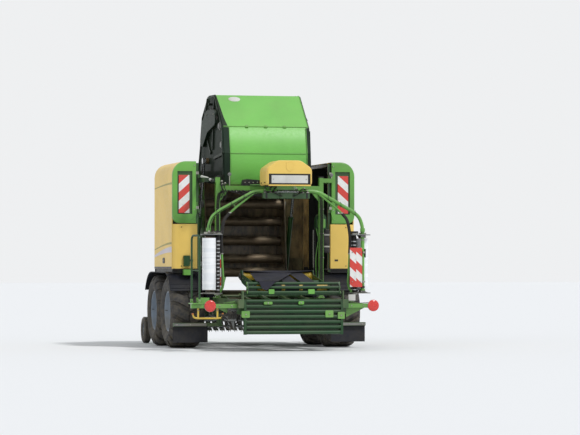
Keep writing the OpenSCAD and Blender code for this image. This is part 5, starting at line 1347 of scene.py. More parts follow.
def make_portal_trim():
    """Gussets, bolts, work lamps, valve box, hose bundles and the tensioner rod around the portal."""
    form = Form()
    for side in (-1, 1):
        upright = side * UPRIGHT_X
        # Gusset between upright and cross beam, and the flange on the rail
        form.prism(1, [(side * 0.73, BEAM_FOOT), (side * 0.6, BEAM_FOOT), (side * 0.73, 2.1)], 1.05, 1.062, GREEN)
        form.box((upright - 0.055, 1.0, 0.72), (upright + 0.04, 1.12, 0.735), GREEN)
        form.bolts([(upright + x, y, 0.735) for x in (-0.042, 0.03) for y in (1.01, 1.11)], UP, 0.016)
        form.box((upright - 0.034, 1.016, 2.45), (upright + 0.034, 1.104, 2.466), BLACK)
        for z in (0.95, 1.3, 1.65, 2.0):
            form.bar((upright - 0.036, 1.016, z), (upright + 0.036, 1.016, z), 0.004, ZINC, 8)
        # Pipes and cable down the upright
        for k in range(3):
            x = upright - 0.018 + 0.016 * k
            route = [(x, 1.01, 0.78), (x, 1.008, 1.4), (x, 1.008, 2.1), (x - side * 0.06, 1.0, 2.24),
                     (x - side * 0.2, 1.004, 2.25)]
            form.hose(route, 0.0055, steps=5)
    # Hoses slung under the cross beam towards the rotor's motor
    for k, drop in enumerate((0.03, 0.045, 0.022, 0.055, 0.038)):
        x0, x1, y = -0.62 + 0.05 * k, 0.45 - 0.06 * k, 1.0 - 0.012 * k
        route = [(x0, y, BEAM_FOOT), (x0 + 0.15, y - 0.01, 2.25 - drop), (-0.1, y, 2.235 - drop),
                 (x1 - 0.15, y - 0.01, 2.25 - drop), (x1, y, BEAM_FOOT)]
        form.hose(route, 0.008)
    for k in range(4):
        x = -0.09 + 0.06 * k
        route = [(x, 0.99, 2.25), (x * 1.3, 0.8, 2.3), (x * 1.5, 0.4, 2.31), (x, 0.16, 2.3)]
        form.hose(route, 0.009)
    for x in (-0.5, -0.3, -0.02, 0.22, 0.4):
        form.box((x - 0.016, 0.972, BEAM_FOOT - 0.03), (x + 0.016, 1.02, BEAM_FOOT), BLACK)
        form.bolt((x, 0.972, 2.247), REAR, 0.012)
    for x in (0.28, 0.33, 0.38, 0.5):
        form.stud((x, 1.015, 2.29), REAR, 0.014, 0.02, 0.01, 0.05, ZINC, 12)
        form.hose([(x, 0.968, 2.29), (x + 0.01, 0.945, 2.26), (x - 0.05, 0.96, 2.21), (x - 0.12, 0.985, 2.2)], 0.007)
    # Valve box on the cross beam
    form.prism(1, blunt([(-0.42, 2.33), (-0.15, 2.33), (-0.15, 2.41), (-0.33, 2.425), (-0.4, 2.415)], 0.012, 3),
               1.015, 1.085, BLACK)
    for x in (-0.37, -0.31, -0.25, -0.19):
        form.bar((x, 1.018, 2.375), (x, 0.995, 2.375), 0.009, ZINC, 10)
    # Work lamps with pale housings
    for x, foot in ((-0.588, 2.33), (0.912, 2.44)):
        form.bar((x, 1.04, foot), (x, 1.04, 2.475), 0.009, ZINC, 10)
        form.lathe((x, 1.07, 2.491), REAR,
                   [(0, 0.017), (0.012, 0.025), (0.036, 0.027), (0.042, 0.024), (0.046, 0.01)], GREY_STEEL, 20)
    form.tube([(-0.936, 1.35, 2.468), (-0.9, 1.1, 2.436), (-0.868, 0.992, 2.408)], 0.019, PLATE_WHITE, 14)
    form.bar((-0.868, 0.992, 2.408), (-0.84, 0.99, 2.39), 0.024, BLACK, 14)
    # Small fittings on the left upright's head
    for x, z in ((-0.7, 2.35), (-0.66, 2.36), (-0.71, 2.39)):
        form.stud((x, 1.02, z), REAR, 0.015, 0.025, 0.009, 0.045, ZINC, 12)
        form.hose([(x, 0.98, z), (x - 0.02, 0.955, z - 0.06), (x + 0.02, 0.975, z - 0.14), (x - 0.01, 1.0, z - 0.24)],
                  0.0065)
    # Diagonal braces between the rotor's beam and the cross beam
    for side in (-1, 1):
        form.prism(2, [(side * 0.12, 1.02), (side * 0.12, 0.84), (side * 0.3, 1.02)], 2.335, 2.347, GREEN)
    for y in (0.1, 0.4, 0.7):
        form.tube([(-0.121, y, 2.35), (-0.121, y, 2.47)], 0.004, ZINC, 8)
    form.done("portal_trim", "frame", "green_paint")


DRUM_PLACE = (0.85, 1.24)


def make_right_unit():
    """Box darkened as painted shade, and grease drum before the right upright."""
    form = Form()
    dome = [(0.71, 1.71), (0.86, 1.71)] + arc((0.785, 1.86), 0.075, 0, 180, 10)
    form.prism(1, dome, 1.125, 1.25, RAMP_SHADED_GREEN)
    form.prism(1, blunt(rectangle(0.728, 1.73, 0.842, 1.86), 0.02), 1.119, 1.126, GREEN)
    form.box((0.79, 1.1, 1.36), (0.81, 1.16, 1.7), GREEN)
    beads = [(z + low, r) for z in (0.05, 0.2) for low,
             r in ((0, 0.085), (0.005, 0.081), (0.06, 0.081), (0.065, 0.085))]
    drum = [(0, 0.076), (0.012, 0.085), *beads, (0.33, 0.085), (0.345, 0.06), (0.35, 0.03)]
    form.lathe((*DRUM_PLACE, 1.37), UP, drum, HOSE, 36)
    for z in (1.45, 1.62):
        band = [(0, 0.08), (0, 0.089), (0.022, 0.089), (0.022, 0.08)]
        form.lathe((*DRUM_PLACE, z), UP, band, ZINC, 36, closed=True)
    for k in range(5):
        x = 0.68 + 0.03 * k
        sway = 0.02 * math.sin(2.1 * k)
        route = [(x, 1.12, 1.72), (x + sway, 1.09, 1.55), (x - sway, 1.085, 1.3), (x - 0.02 + sway, 1.1, 1.0),
                 (0.76, 1.12, 0.8)]
        form.tube(flowing(route, 5), 0.007, GREEN if k == 1 else ZINC if k == 3 else HOSE, 8)
    # Spring and rod that steady the box
    spring = [(0.665 + 0.012 * math.cos(k * 0.8), 1.13 + 0.012 * math.sin(k * 0.8), 1.2 + 0.0028 * k)
              for k in range(120)]
    form.tube(spring, 0.0022, ZINC, 6)
    form.bar((0.665, 1.13, 1.15), (0.665, 1.13, 1.7), 0.005, ZINC, 10)
    form.done("grease_unit", "frame", "rubber_black", bevel=0.0015)


# Chamber

# Distance from the middle plane to the outer faces of the chamber's fixed walls
CHAMBER_X = 0.615
# Foot of a tailgate cylinder, and its eye's place about the tailgate's hinge as reach and degrees
CYLINDER_X = 0.7
CYLINDER_FOOT = (3.1, 1.0)
CYLINDER_EYE = (0.602, 146.7)


def make_chamber_trim():
    """Bearings, bolts, ribs and cylinder hoses on the fixed half of the chamber."""
    form = Form()
    for side in (-1, 1):
        face = side * CHAMBER_X
        for degrees in FRONT_ROLLERS:
            bearing(form, face, side, degrees, 0.064, 0.008)
        form.lathe((side * 0.654, 2.85, 2.4), (side, 0, 0),
                   [(0, 0.03), (0.0, 0.046), (0.01, 0.046), (0.012, 0.028), (0.018, 0.028)], ZINC, 24)
        form.bolts([(face, y, z) for y, z in ((3.12, 1.25), (3.14, 1.9), (2.78, 0.9))], (side, 0, 0), 0.022)
        # Hose from the rail to the cylinder's lower end
        route = [(side * 0.76, 2.95, 0.73), (side * 0.75, 3.02, 0.82), (side * 0.755, 3.05, 0.93),
                 (side * 0.745, 3.12, 1.02)]
        form.hose(route, 0.009)
    form.done("chamber_trim", "frame", "grey_steel")


def make_cylinder_trim(name, side):
    """Head, port fittings and pipe of a tailgate cylinder."""
    base = Vector((side * CYLINDER_X, *CYLINDER_FOOT))
    reach, turn = CYLINDER_EYE
    eye = arc(HINGE.yz, reach, turn, turn, 1)[0]
    along = (Vector((side * CYLINDER_X, *eye)) - base).normalized()
    form = Form()
    head = base + along * 0.965
    form.tube([head, head + along * 0.035], 0.04, DARK_GREEN, 28)
    form.tube([base + along * 0.075, base + along * 0.1], 0.038, DARK_GREEN, 28)
    front = Vector((0, 1, 0.44)).normalized()
    for reach in (0.09, 0.94):
        spot = base + along * reach
        form.bar(spot + front * 0.03, spot + front * 0.055, 0.012, ZINC, 12)
    stops = ((0.09, 0.05), (0.2, 0.052), (0.8, 0.052), (0.94, 0.05))
    pipe = [base + along * reach + front * off for reach, off in stops]
    form.tube(pipe, 0.006, ZINC, 8)
    form.done(f"barrel_trim_{name}", f"barrel_{name}", "dark_green_paint", bevel=0.001)


# Lamps, guard and rear boxes

LAMP_X = 1.158
LAMP_Z = 0.63
# Height above its seat and radius of the lens
LENS = ((0.0, 0.06), (0.002, 0.079), (0.012, 0.08), (0.016, 0.076), (0.022, 0.07), (0.026, 0.05), (0.03, 0.02))


def make_lamps():
    """Domed lenses with rings, rubber bodies and cables."""
    form = Form()
    y = span("lamps")[1].y
    for side in (-1, 1):
        centre = (side * LAMP_X, y, LAMP_Z)
        form.lathe(centre, REAR, LENS, LAMP_RED, 48)
        form.lathe(centre, REAR, [(0.0, 0.0795), (0.0, 0.0815), (0.01, 0.0815), (0.01, 0.0795)], PLATE_WHITE, 48,
                   closed=True)
    form.done("lamp_lenses", "frame", "lamp_red", bevel=0.0, replaces=("lamps",))
    trim = Form()
    for side in (-1, 1):
        trim.beside(side, (LAMP_X - 0.03, y - 0.001, 0.655), (LAMP_X + 0.03, y + 0.02, 0.7), GREEN)
        route = [(side * LAMP_X, y + 0.03, 0.662), (side * 1.1, y + 0.02, 0.672), (side * 0.95, y + 0.03, 0.664),
                 (side * 0.8, y + 0.04, 0.672)]
        trim.hose(route, 0.005)
        trim.bolts([(side * x, y, LAMP_Z) for x in (0.85, 1.02)], REAR, 0.014)
        # Sloping plate between ramp and lamp tube
        slope = [(side * 0.785, 0.7), (side * 1.05, 0.655), (side * 1.05, 0.6), (side * 0.785, 0.47)]
        trim.prism(1, slope, y + 0.061, y + 0.067, GREEN)
    trim.box((-1.4195, y + 0.004, 0.604), (-1.392, y + 0.056, 0.656), BLACK)
    # Small white holder on the right and a marker plate on the left
    trim.box((0.8, -0.395, 0.7), (0.9, -0.375, 0.785), PLATE_WHITE)
    trim.box((-1.35, -0.39, 0.66), (-1.17, -0.376, 0.745), GREEN)
    trim.done("lamp_tube_trim", "frame", "green_paint", bevel=0.0015)


def make_hoop():
    """Bent guard tube with its feet and cross rod."""
    low, high = span("guard_hoop")
    top = high.z - 0.016
    foot = low.z + 0.004
    outer = (-1.38, -0.2)
    inner = (-1.32, -0.45)
    form = Form()
    route = [(*outer, foot), (*outer, top), (*inner, top), (*inner, foot)]
    form.tube(rounded(route, 0.07, 7), 0.0145, RAMP_SHADED_GREEN, 16)
    for x, y in (outer, inner):
        form.bar((x, y, foot - 0.003), (x, y, foot + 0.05), 0.02, GREEN, 16)
        form.bolt((x, y - 0.02, foot + 0.03), REAR, 0.012)
    form.bar((*outer, 1.12), (*inner, 1.12), 0.009, RAMP_SHADED_GREEN, 12)
    form.done("guard_hoop_tube", "frame", "black_paint", bevel=0.0, replaces=("guard_hoop",))


def make_marker_bar():
    """Yellow bent bar on two lugs, with orange ends."""
    form = Form()
    route = [(-1.395, 0.53), (-1.382, 0.472), (-1.33, 0.461), (-1.04, 0.461), (-0.988, 0.472), (-0.975, 0.53)]
    bent = [(p.x, -0.355, p.y) for p in rounded([Vector(q) for q in route], 0.05, 6)]
    form.tube(bent, 0.0125, YELLOW, 16)
    for x in (-1.395, -0.975):
        form.bar((x, -0.355, 0.512), (x, -0.355, 0.533), 0.0145, ORANGE, 16)
    for x in (-1.32, -1.05):
        form.box((x - 0.012, -0.362, 0.452), (x + 0.012, -0.348, 0.601), YELLOW)
        form.bolt((x, -0.362, 0.57), REAR, 0.012)
    form.done("marker_bar_tube", "frame", "yellow_paint", bevel=0.001, replaces=("marker_bar",))


def make_valves():
    """Fittings, coils and hose bundle of the valve block beside the left rail."""
    form = Form()
    y = span("valve_block")[0].y
    rng = random.Random(7)
    for k in range(5):
        x = -0.885 + 0.024 * k
        form.box((x - 0.009, y - 0.018, 0.45), (x + 0.009, y, 0.53), BLACK)
        form.stud((x, y, 0.56), REAR, 0.01, 0.02, 0.007, 0.04, BRIGHT, 10)
        route = [(x, y - 0.035, 0.56), (x - 0.03, y - 0.06, 0.53),
                 (x - 0.1 - 0.03 * k, y - 0.03, 0.5 + rng.uniform(-0.03, 0.03)),
                 (x - 0.12, y + 0.05, 0.57), (-0.84, y + 0.1, 0.61)]
        form.hose(route, 0.0075)
    for k in range(4):
        z = 0.34 + 0.06 * k
        form.stud((-0.9, y + 0.07, z + 0.1), (-1, 0, 0), 0.012, 0.018, 0.008, 0.036, BRIGHT, 10)
        route = [(-0.93, y + 0.07, z + 0.1), (-0.97, y + 0.08, z + 0.06), (-0.9, y + 0.02, z - 0.02),
                 (-0.82, y + 0.03, 0.31)]
        form.hose(route, 0.008)
    form.hose([(-0.8, -0.2, 0.36), (-0.77, -0.1, 0.33), (-0.7, 0.0, 0.4), (-0.66, 0.2, 0.52), (-0.66, 0.6, 0.56)],
              0.01)
    form.hose([(-0.8, -0.21, 0.42), (-0.76, -0.1, 0.4), (-0.69, 0.03, 0.46), (-0.64, 0.25, 0.54), (-0.64, 0.6, 0.57)],
              0.01)
    form.done("valve_fittings", "frame", "rubber_black", bevel=0.001)


# Ramp, table and fork

# Station of the ramp's rear face, and left, right, lowest and highest edge of its green blocks
RAMP_REAR = -0.49
RAMP_BLOCKS = ((-0.736, -0.623, 0.47, 0.56), (-0.425, -0.304, 0.65, 0.69), (0.064, 0.142, 0.65, 0.695),
               (0.446, 0.56, 0.47, 0.566), (0.623, 0.722, 0.449, 0.545))


def make_ramp_trim():
    """Green bearing blocks, end caps and brackets on the rear ramp."""
    form = Form()
    rear = RAMP_REAR
    for x0, x1, z0, z1 in RAMP_BLOCKS:
        form.prism(1, blunt(rectangle(x0, z0, x1, z1), 0.014, 3), rear - 0.006, rear + 0.03, GREEN)
        form.bolt(((x0 + x1) / 2, rear - 0.006, (z0 + z1) / 2), REAR, 0.016)
    for side in (-1, 1):
        form.prism(1, rectangle(side * 0.67, 0.235, side * 0.7, 0.6), rear + 0.02, rear + 0.028, RAMP_SHADED_GREEN)
        form.bolts([(side * 0.685, rear + 0.02, z) for z in (0.29, 0.4, 0.52)], REAR, 0.015)
        for k in range(7):
            z = 0.265 + 0.072 * k
            form.lathe((side * 0.668, -0.46, z), (-side, 0, 0),
                       [(0, 0.03), (0.008, 0.03), (0.01, 0.027), (0.02, 0.027)], RAMP_SHADED_GREEN, 20)
    form.done("ramp_trim", "frame", "green_paint", bevel=0.0015)


# Station and height of the rollers at the table's ends, and the rise of the belts between them
TABLE_ROLLERS = ((0.585, 1.03), (-0.33, 0.88))
TABLE_SLOPE = 0.164
# Place along its length and radius of a roller's outline, with a groove near each end
TABLE_ROLLER = ((0, 0.03), (0.0, 0.0615), (0.05, 0.062), (0.051, 0.058), (0.07, 0.058), (0.071, 0.062),
                (0.505, 0.063), (0.939, 0.062), (0.94, 0.058), (0.959, 0.058), (0.96, 0.062), (1.01, 0.0615),
                (1.01, 0.03))
# Height of the apron's underside at its low end, and its thickness
APRON_Z = 0.966
APRON_SHEET = 0.005


def make_table_trim():
    """Roller end caps, gussets and clamps of the table, its apron, and its turned rollers."""
    form = Form()
    for side in (-1, 1):
        for y, z in TABLE_ROLLERS:
            form.lathe((side * 0.52, y, z), (side, 0, 0), [(0, 0.05), (0.012, 0.05), (0.016, 0.03), (0.03, 0.026)],
                       BLACK, 28)
            form.bolts([(side * 0.53, *spot) for spot in circle((y, z), 0.038, 3, 90)], (side, 0, 0), 0.012)
        for k in range(5):
            share = (k + 0.5) / 5
            form.bolt((side * 0.52, -0.3 + 0.8 * share, 0.885 + 0.13 * share), (side, 0, 0), 0.014)
        # Gusset to the end plate
        form.prism(1, [(side * 0.521, 0.79), (side * 0.638, 0.79), (side * 0.638, 0.86), (side * 0.521, 0.93)],
                   -0.437, -0.431, RAMP_SHADED_GREEN)
        for y, z in ((-0.44, 0.94), (-0.465, 0.885), (-0.478, 0.818)):
            form.lathe((side * 0.655, y, z), (side, 0, 0), [(0, 0.024), (0.004, 0.024), (0.006, 0.02)], GREEN, 20)
    for x0, x1 in ((-0.36, -0.28), (0.2, 0.29)):
        form.prism(1, blunt(rectangle(x0, 0.795, x1, 0.86), 0.012, 3), -0.507, -0.47, GREEN)
    form.done("table_trim", "table", "dark_green_paint")
    # Stiff rubber apron over the belts, its tip hung over the rear tubes
    apron = Form()
    flat = [(-0.44, 0.33), (0.16, 0.33), (-0.19, -0.35), (-0.5, -0.35), (-0.47, 0.0)]
    lower = [(x, y, APRON_Z + (y + 0.35) * TABLE_SLOPE) for x, y in flat]
    apron.loft([lower, [(x, y, z + APRON_SHEET) for x, y, z in lower]], BELT)
    apron.prism(2, [(-0.5, -0.352), (-0.19, -0.352), (-0.26, -0.495), (-0.5, -0.495)], APRON_Z, APRON_Z + APRON_SHEET,
                BELT)
    apron.prism(1, [(-0.5, 0.969), (-0.26, 0.969), (-0.32, 0.9), (-0.385, 0.843), (-0.45, 0.868)], -0.495, -0.49,
                BELT)
    apron.done("table_apron", "table", "rubber_black", bevel=0.001)
    rollers = Form()
    for y, z in TABLE_ROLLERS:
        rollers.lathe((-0.505, y, z), (1, 0, 0), TABLE_ROLLER, YELLOW, 48)
    rollers.done("table_rollers_turned", "table", "yellow_paint", bevel=0.001, replaces=("table_rollers",))


FORK_BARS = (-0.58, -0.29, 0.0, 0.29, 0.58)


def make_fork_trim():
    """Caps and knuckles of the fork's bars, and its stops."""
    form = Form()
    for x in FORK_BARS:
        form.lathe((x, 1.75, 0.75), (0, 1, 0.085), [(-0.002, 0.022), (0.002, 0.026), (0.02, 0.022), (0.028, 0.01)],
                   GREEN, 18)
        form.lathe((x - 0.03, 0.8, 0.66), (1, 0, 0), [(0, 0.042), (0.06, 0.042)], DARK_GREEN, 24)
    for side in (-1, 1):
        form.beside(side, (0.6, 0.79, 0.6), (0.62, 0.81, 0.66), ZINC)
    form.done("fork_trim", "fork", "dark_green_paint")


make_portal_trim()
make_right_unit()
make_chamber_trim()
make_lamps()
make_hoop()
make_marker_bar()
make_valves()
make_ramp_trim()
make_table_trim()
make_fork_trim()
for side_name, side_sign in SIDES:
    make_cylinder_trim(side_name, side_sign)


# Pickup

REEL_ST = 3.85
REEL_Z = 0.4
REEL_HALF = 0.94
TINES = 20
TINE_PITCH = 2 * REEL_HALF / (TINES - 1)
# Station and height of the bolts on a side plate of the pickup, and the corners of that plate
PICKUP_BOLTS = ((3.58, 0.62), (3.95, 0.68), (4.08, 0.52), (3.92, 0.24), (3.7, 0.26), (3.56, 0.5))
PICKUP_RIM = ((3.53, 0.648), (3.995, 0.706), (4.11, 0.552), (4.11, 0.345), (3.908, 0.186), (3.675, 0.206))


def make_pickup_trim():
    """Stripper bands between the tines, wind guard rods and fittings of the pickup."""
    form = Form()
    line = arc((REEL_ST, REEL_Z), 0.218, -75, 165, 14)
    back = arc((REEL_ST, REEL_Z), 0.2145, 165, -75, 14)
    for k in range(TINES - 1):
        x = -REEL_HALF + (k + 0.5) * TINE_PITCH
        form.prism(0, line + back, x - 0.039, x + 0.039, ZINC)
    for k in range(22):
        x = -0.945 + 0.09 * k
        rod = [(x, 3.91, 0.71), (x, 3.98, 0.712), (x, 4.05, 0.675), (x, 4.1, 0.6), (x, 4.112, 0.54)]
        form.tube(flowing(rod, 4), 0.0045, ZINC, 8)
        form.bar((x - 0.008, 3.91, 0.71), (x + 0.008, 3.91, 0.71), 0.026, GREEN, 16)
    for side in (-1, 1):
        face = side * 1.022
        form.lathe((face, REEL_ST, REEL_Z), (side, 0, 0),
                   [(0, 0.07), (0.012, 0.07), (0.014, 0.05), (0.03, 0.046), (0.032, 0.02)], GREY_STEEL, 28)
        form.bolts([(face, *spot) for spot in PICKUP_BOLTS], (side, 0, 0), 0.016)
        form.tube([(side * 1.018, *spot) for spot in PICKUP_RIM], 0.007, GREEN, 10)
    form.hose([(-0.5, 3.56, 0.648), (-0.2, 3.5, 0.66), (0.0, 3.4, 0.7), (0.1, 3.3, 0.76)], 0.009)
    form.done("pickup_trim", "pickup", "bright_steel", bevel=0.001)


def make_gauge_wheel(name, side):
    """Small pneumatic wheel with grooves and a pressed rim."""
    low, high = span(f"gauge_wheel_{name}")
    middle = (low + high) / 2
    radius = (high.z - low.z) / 2
    half = (high.x - low.x) / 2
    form = Form(Matrix.Translation(middle) @ sided(side))
    side_wall = [(half - 0.012, 0.1), (half, 0.13), (half - 0.004, radius - 0.02), (half - 0.016, radius - 0.004)]
    groove = ((0.004, 0), (0.002, 0.008), (-0.002, 0.008), (-0.004, 0))
    tread = [(x + wide, radius - deep) for x in (0.03, 0.01) for wide, deep in groove]
    form.turned(both_ways(side_wall + tread), TYRE, 48, closed=True)
    rim = [(-0.035, 0.1), (-0.035, 0.092), (0.035, 0.092), (0.035, 0.1), (0.042, 0.104), (-0.042, 0.104)]
    form.turned(rim, RIM_PAINT, 40, closed=True)
    disc = [(0.004, 0.03), (0.012, 0.05), (0.0, 0.075), (0.0, 0.096), (-0.006, 0.096), (-0.006, 0.03)]
    form.turned(disc, RIM_PAINT, 40, closed=True)
    hub = [(-0.045, 0.0215), (-0.045, 0.036), (0.03, 0.036), (0.04, 0.03), (0.044, 0.0215)]
    form.turned(hub, GREY_STEEL, 28, closed=True)
    form.bolts([(0.004, *spot) for spot in circle((0, 0), 0.062, 4, 45)], (1, 0, 0), 0.013)
    form.done(f"gauge_dressed_{name}", f"gauge_{name}", "tyre_rubber", bevel=0.001, replaces=(f"gauge_wheel_{name}",))


# Drawbar, gearbox and jack

def make_front_end():
    """Shaft guard, gearbox ribs, hoses with couplings, hose rack, eye bolts and the jack's crank."""
    form = Form()
    top = 1.42
    shaft_z = 1.3
    front = 3.865
    form.lathe((0, front - 0.022, shaft_z), AHEAD,
               [(0.02, 0.056), (0.03, 0.075), (0.09, 0.09), (0.092, 0.087), (0.032, 0.071)], BLACK, 40)
    form.bolts([(x, front - 0.002, z) for x, z in circle((0, shaft_z), 0.1, 8)], AHEAD, 0.014)
    for side in (-1, 1):
        for y in (3.5, 3.6, 3.7, 3.8):
            form.beside(side, (0.142, y - 0.006, 1.19), (0.158, y + 0.006, 1.4), GREY_STEEL)
        for y in (3.47, 3.84):
            form.beside(side, (0.14, y - 0.02, 1.172), (0.2, y + 0.02, 1.19), GREY_STEEL)
            form.bolt((side * 0.175, y, 1.19), UP, 0.02)
    form.lathe((0.06, 3.6, top), UP, [(-0.002, 0.03), (0.008, 0.03), (0.01, 0.02), (0.028, 0.02)], BLACK, 20)
    form.bolt((-0.06, 3.75, top), UP, 0.022)
    # Hoses with couplings from the frame over the drawbar to the rack
    rng = random.Random(11)
    form.box((-0.07, 5.3, 0.72), (0.05, 5.32, 1.0), GREEN)
    form.box((-0.15, 5.296, 0.98), (0.13, 5.324, 1.03), GREEN)
    for k in range(6):
        x = -0.12 + 0.046 * k
        lift = rng.uniform(-0.02, 0.02)
        route = [(x * 0.5, 3.42, 1.21), (x * 0.7 - 0.13, 3.75, 1.24 + lift), (x * 0.8 - 0.17, 4.1, 1.2),
                 (x, 4.6, 1.1 + lift), (x, 5.05, 0.98), (x, 5.27, 1.02)]
        form.hose(route, 0.0085)
        form.bar((x, 5.26, 1.015), (x, 5.36, 1.035), 0.013, ZINC, 12)
        form.bar((x, 5.35, 1.033), (x, 5.385, 1.04), 0.016, (LAMP_RED, YELLOW, BLACK)[k // 2], 12)
    cable = [(0.04, 3.42, 1.2), (0.1, 3.9, 1.19), (0.05, 4.5, 1.12), (-0.09, 5.1, 0.9), (-0.03, 5.31, 0.93)]
    form.hose(cable, 0.006)
    for y in (3.95, 4.3):
        form.tube([(0.121 * c, y, 1.181 + 0.02 * s) for c, s in ((-1, -1), (-1, 1), (-0.8, 2), (0.8, 2), (1, 1),
                (1, -1))], 0.004, ZINC, 8)
    form.bolts([(x, 6.47, z) for x in (-0.044, 0.044) for z in (0.505, 0.575)], AHEAD, 0.018)
    for y in (3.415, 3.5):
        for side in (-1, 1):
            form.bolt((side * 0.121, y, 1.1), (side, 0, 0), 0.024)
    # Plain tag on the drawbar's side
    form.box((0.0795, 5.2, 0.6), (0.0812, 5.32, 0.66), PLATE_WHITE)
    form.done("front_fittings", "frame", "grey_steel")
    jack = Form()
    # Side crank, clear of the leg that rises through its sleeve
    x, y = -0.12, 5.6
    jack.stud((x - 0.04, y, 0.66), (-1, 0, 0), 0.032, 0.02, 0.013, 0.05, GREY_STEEL, 24)
    jack.tube(rounded([(x - 0.06, y, 0.66), (x - 0.085, y, 0.66), (x - 0.085, y, 0.79), (x - 0.15, y, 0.79)], 0.015,
                      3), 0.008, ZINC, 10)
    jack.bar((x - 0.1, y, 0.79), (x - 0.17, y, 0.79), 0.014, BLACK, 14)
    jack.bolts([(x - 0.041, y + off, z) for z in (0.47, 0.86) for off in (-0.02, 0.02)], (-1, 0, 0), 0.012)
    jack.done("jack_crank", "frame", "bright_steel", bevel=0.001)


# Binding box, rear boxes, mudguards and inner sheets

def make_box_trim():
    """Lid seams, hinges, latches and seals of the fixed boxes."""
    form = Form()
    for side in (-1, 1):
        lid = ((3.12, 1.98), (3.76, 1.98), (3.62, 2.42), (3.12, 2.42))
        form.tube([(side * 0.7505, *spot) for spot in lid], 0.004, BLACK, 8, loop=True)
        for y in (3.25, 3.6):
            form.bar((side * 0.752, y - 0.03, 1.975), (side * 0.752, y + 0.03, 1.975), 0.007, BLACK, 10)
        form.box((side * 0.75 - 0.004, 3.4, 2.32), (side * 0.75 + 0.008, 3.48, 2.36), BLACK)
        # Rounded corner that carries the panel's line on to the box
        corner = arc((side * 1.27, 1.48), 0.08, -90, -30 if side > 0 else -150, 6)
        form.prism(2, [(side * 1.246, 1.402)] + corner + [(side * 1.345, 1.447), (side * 1.246, 1.447)], 1.142, 1.783,
                   BEIGE)
        # Black seam and latch under the fixed rear box
        form.box((side * 0.905, 1.402, 1.128), (side * 1.34, 1.446, 1.142), BLACK)
        form.box((side * 1.05, 1.396, 1.25), (side * 1.1, 1.402, 1.275), BLACK)
        form.bolts([(side * x, 1.4, z) for x in (0.93, 1.22) for z in (1.18, 1.74)], REAR, 0.011, BLACK)
    # Switch box, dark green as painted shade, and its bracket on the left rear box
    form.box((-1.19, 1.36, 1.18), (-1.1, 1.401, 1.33), RAMP_SHADED_GREEN)
    form.box((-1.2, 1.3, 1.05), (-1.08, 1.4, 1.13), GREEN)
    for z in (1.83, 2.02, 2.2):
        form.box((-0.55, 3.798, z), (0.55, 3.802, z + 0.012), BLACK)
    for x in (-0.4, 0.4):
        grip = [(x + off, y, 1.93) for off, y in ((-0.06, 3.8), (-0.06, 3.83), (0.06, 3.83), (0.06, 3.8))]
        form.tube(rounded(grip, 0.012, 3), 0.006, BLACK, 10)
    form.done("box_trim", "frame", "black_paint", bevel=0.001)


GUARD_RING = 0.571
WHEEL_Z = 0.525
REAR_AXLE = 1.68
FRONT_AXLE = 2.78
# Lowest and highest corner and finish of the sheets on the right side
GUARD_SHEETS = (
    ((0.99, 1.47, 1.08), (1.34, 1.476, 1.134), BLACK), ((0.935, 2.862, 1.05), (1.34, 2.868, 1.165), BLACK),
    ((1.323, 1.476, 1.08), (1.329, 2.83, 1.134), BLACK), ((1.323, 1.49, 1.134), (1.329, 2.8, 1.165), BLACK),
    ((0.655, 3.16, 0.722), (1.01, 3.166, 1.32), CHAMBER_GREEN),
    ((0.995, 3.04, 1.14), (1.12, 3.046, 2.62), FRAME_GREEN),
)


def make_guard_trim():
    """Beads of the mudguards, strips of the mudflaps and sheets that close the gaps beside the chamber."""
    form = Form()
    for side in (-1, 1):
        inner, outer = sorted((side * 0.93, side * 1.415))
        for station, beads in ((REAR_AXLE, (136, 143.6, 112)), (FRONT_AXLE, (68, 44, 36.4))):
            for degrees in beads:
                spot = arc((station, WHEEL_Z), GUARD_RING - 0.001, degrees, degrees, 1)[0]
                form.bar((inner, *spot), (outer, *spot), 0.006, NAVY, 10)
        edge = arc((REAR_AXLE, WHEEL_Z), GUARD_RING - 0.004, 148, 90)
        edge += arc((FRONT_AXLE, WHEEL_Z), GUARD_RING - 0.004, 90, 32)
        form.tube([(side * 1.412, *spot) for spot in edge], 0.007, NAVY, 8)
        form.beside(side, (0.93, 0.992, 0.326), (1.4, 1.0, 0.362), GREY_STEEL)
        form.bolts([(side * x, 0.993, 0.344) for x in (0.97, 1.165, 1.36)], REAR, 0.013)
        # Rubber skirts between mudguard and panel, then sheets beside the chamber and the front post
        for low, high, finish in GUARD_SHEETS:
            form.beside(side, low, high, finish)
    form.done("guard_trim", "frame", "black_paint", bevel=0.001)


# Chassis

# Place along its axis and radius of a brake cylinder's outline
BRAKE_CAN = ((0, 0.04), (0.01, 0.065), (0.05, 0.068), (0.055, 0.072), (0.065, 0.072), (0.07, 0.066), (0.11, 0.05))


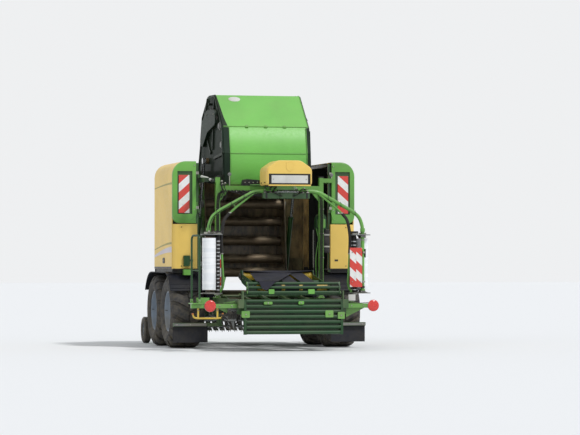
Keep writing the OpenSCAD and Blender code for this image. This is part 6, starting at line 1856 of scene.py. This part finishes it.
def make_chassis_trim():
    """Brake cylinders and levers, axle clamps, pipes along the rails and bolts of the cross members."""
    form = Form()
    for st in (REAR_AXLE, FRONT_AXLE):
        for side in (-1, 1):
            form.lathe((side * 0.5, st - 0.2, 0.62), AHEAD, BRAKE_CAN, BLACK, 28)
            form.bar((side * 0.5, st - 0.1, 0.62), (side * 0.5, st + 0.04, 0.66), 0.007, ZINC, 10)
            form.prism(0, [(st + 0.02, 0.53), (st + 0.06, 0.53), (st + 0.05, 0.68), (st + 0.03, 0.68)], side * 0.49,
                       side * 0.51, GREY_STEEL)
            form.bar((side * 0.5, st + 0.04, 0.55), (side * 0.84, st + 0.04, 0.55), 0.014, GREY_STEEL, 14)
            for x in (0.715, 0.765):
                for y in (-0.05, 0.05):
                    form.bar((side * x, st + y, 0.44), (side * x, st + y, 0.605), 0.009, ZINC, 10)
                    form.bolt((side * x, st + y, 0.45), (0, 0, -1), 0.018)
            form.beside(side, (0.7, st - 0.07, 0.452), (0.78, st + 0.07, 0.474), GREY_STEEL)
            hose = [(side * 0.5, st - 0.2, 0.66), (side * 0.55, st - 0.25, 0.64), (side * 0.66, st - 0.2, 0.66),
                    (side * 0.68, st - 0.05, 0.69)]
            form.hose(hose, 0.007)
    for side in (-1, 1):
        for k in range(3):
            x = side * (0.672 - 0.012 * k)
            form.tube([(x, 0.55, 0.69), (x, 1.9, 0.69), (x, 3.3, 0.69)], 0.005, HOSE if k else ZINC, 8)
        for y in (0.7, 1.4, 2.2, 3.0):
            form.box((side * 0.66 - 0.024, y, 0.68), (side * 0.66 + 0.026, y + 0.02, 0.7), ZINC)
    # Tank lying between the rails
    form.lathe((-0.35, 2.2, 0.5), (1, 0, 0),
               [(0, 0.05), (0.012, 0.1), (0.03, 0.115), (0.67, 0.115), (0.688, 0.1), (0.7, 0.05)], BLACK, 36)
    for x in (-0.2, 0.2):
        form.hoop((x, 2.2, 0.5), 0, 0.118, 0.006, ZINC, 24)
        form.box((x - 0.02, 2.19, 0.61), (x + 0.02, 2.21, 0.66), ZINC)
    form.tube([(-0.68, 2.2, 0.655), (0.68, 2.2, 0.655)], 0.02, DARK_GREEN, 14)
    form.done("chassis_trim", "frame", "dark_green_paint")


def make_panel_inside(name, side):
    """Ribs and lower rail inside a side panel."""
    form = Form(sided(side))
    for y in (1.7, 2.15, 2.6):
        rib = [(1.337, 1.2), (1.337, 2.47), (1.24, 2.62), (1.24, 2.6), (1.318, 2.46), (1.318, 1.2)]
        form.prism(1, rib, y - 0.012, y + 0.012, BLACK)
    form.box((1.29, 1.5, 1.2), (1.337, 2.8, 1.222), BLACK)
    form.done(f"panel_ribs_{name}", f"panel_{name}", "black_paint")


make_pickup_trim()
make_front_end()
make_box_trim()
make_guard_trim()
make_chassis_trim()
for side_name, side_sign in SIDES:
    make_gauge_wheel(side_name, side_sign)
    make_panel_inside(side_name, side_sign)


bpy.context.scene.view_settings.view_transform = "Standard"
make_camera()
make_light()
make_floor()
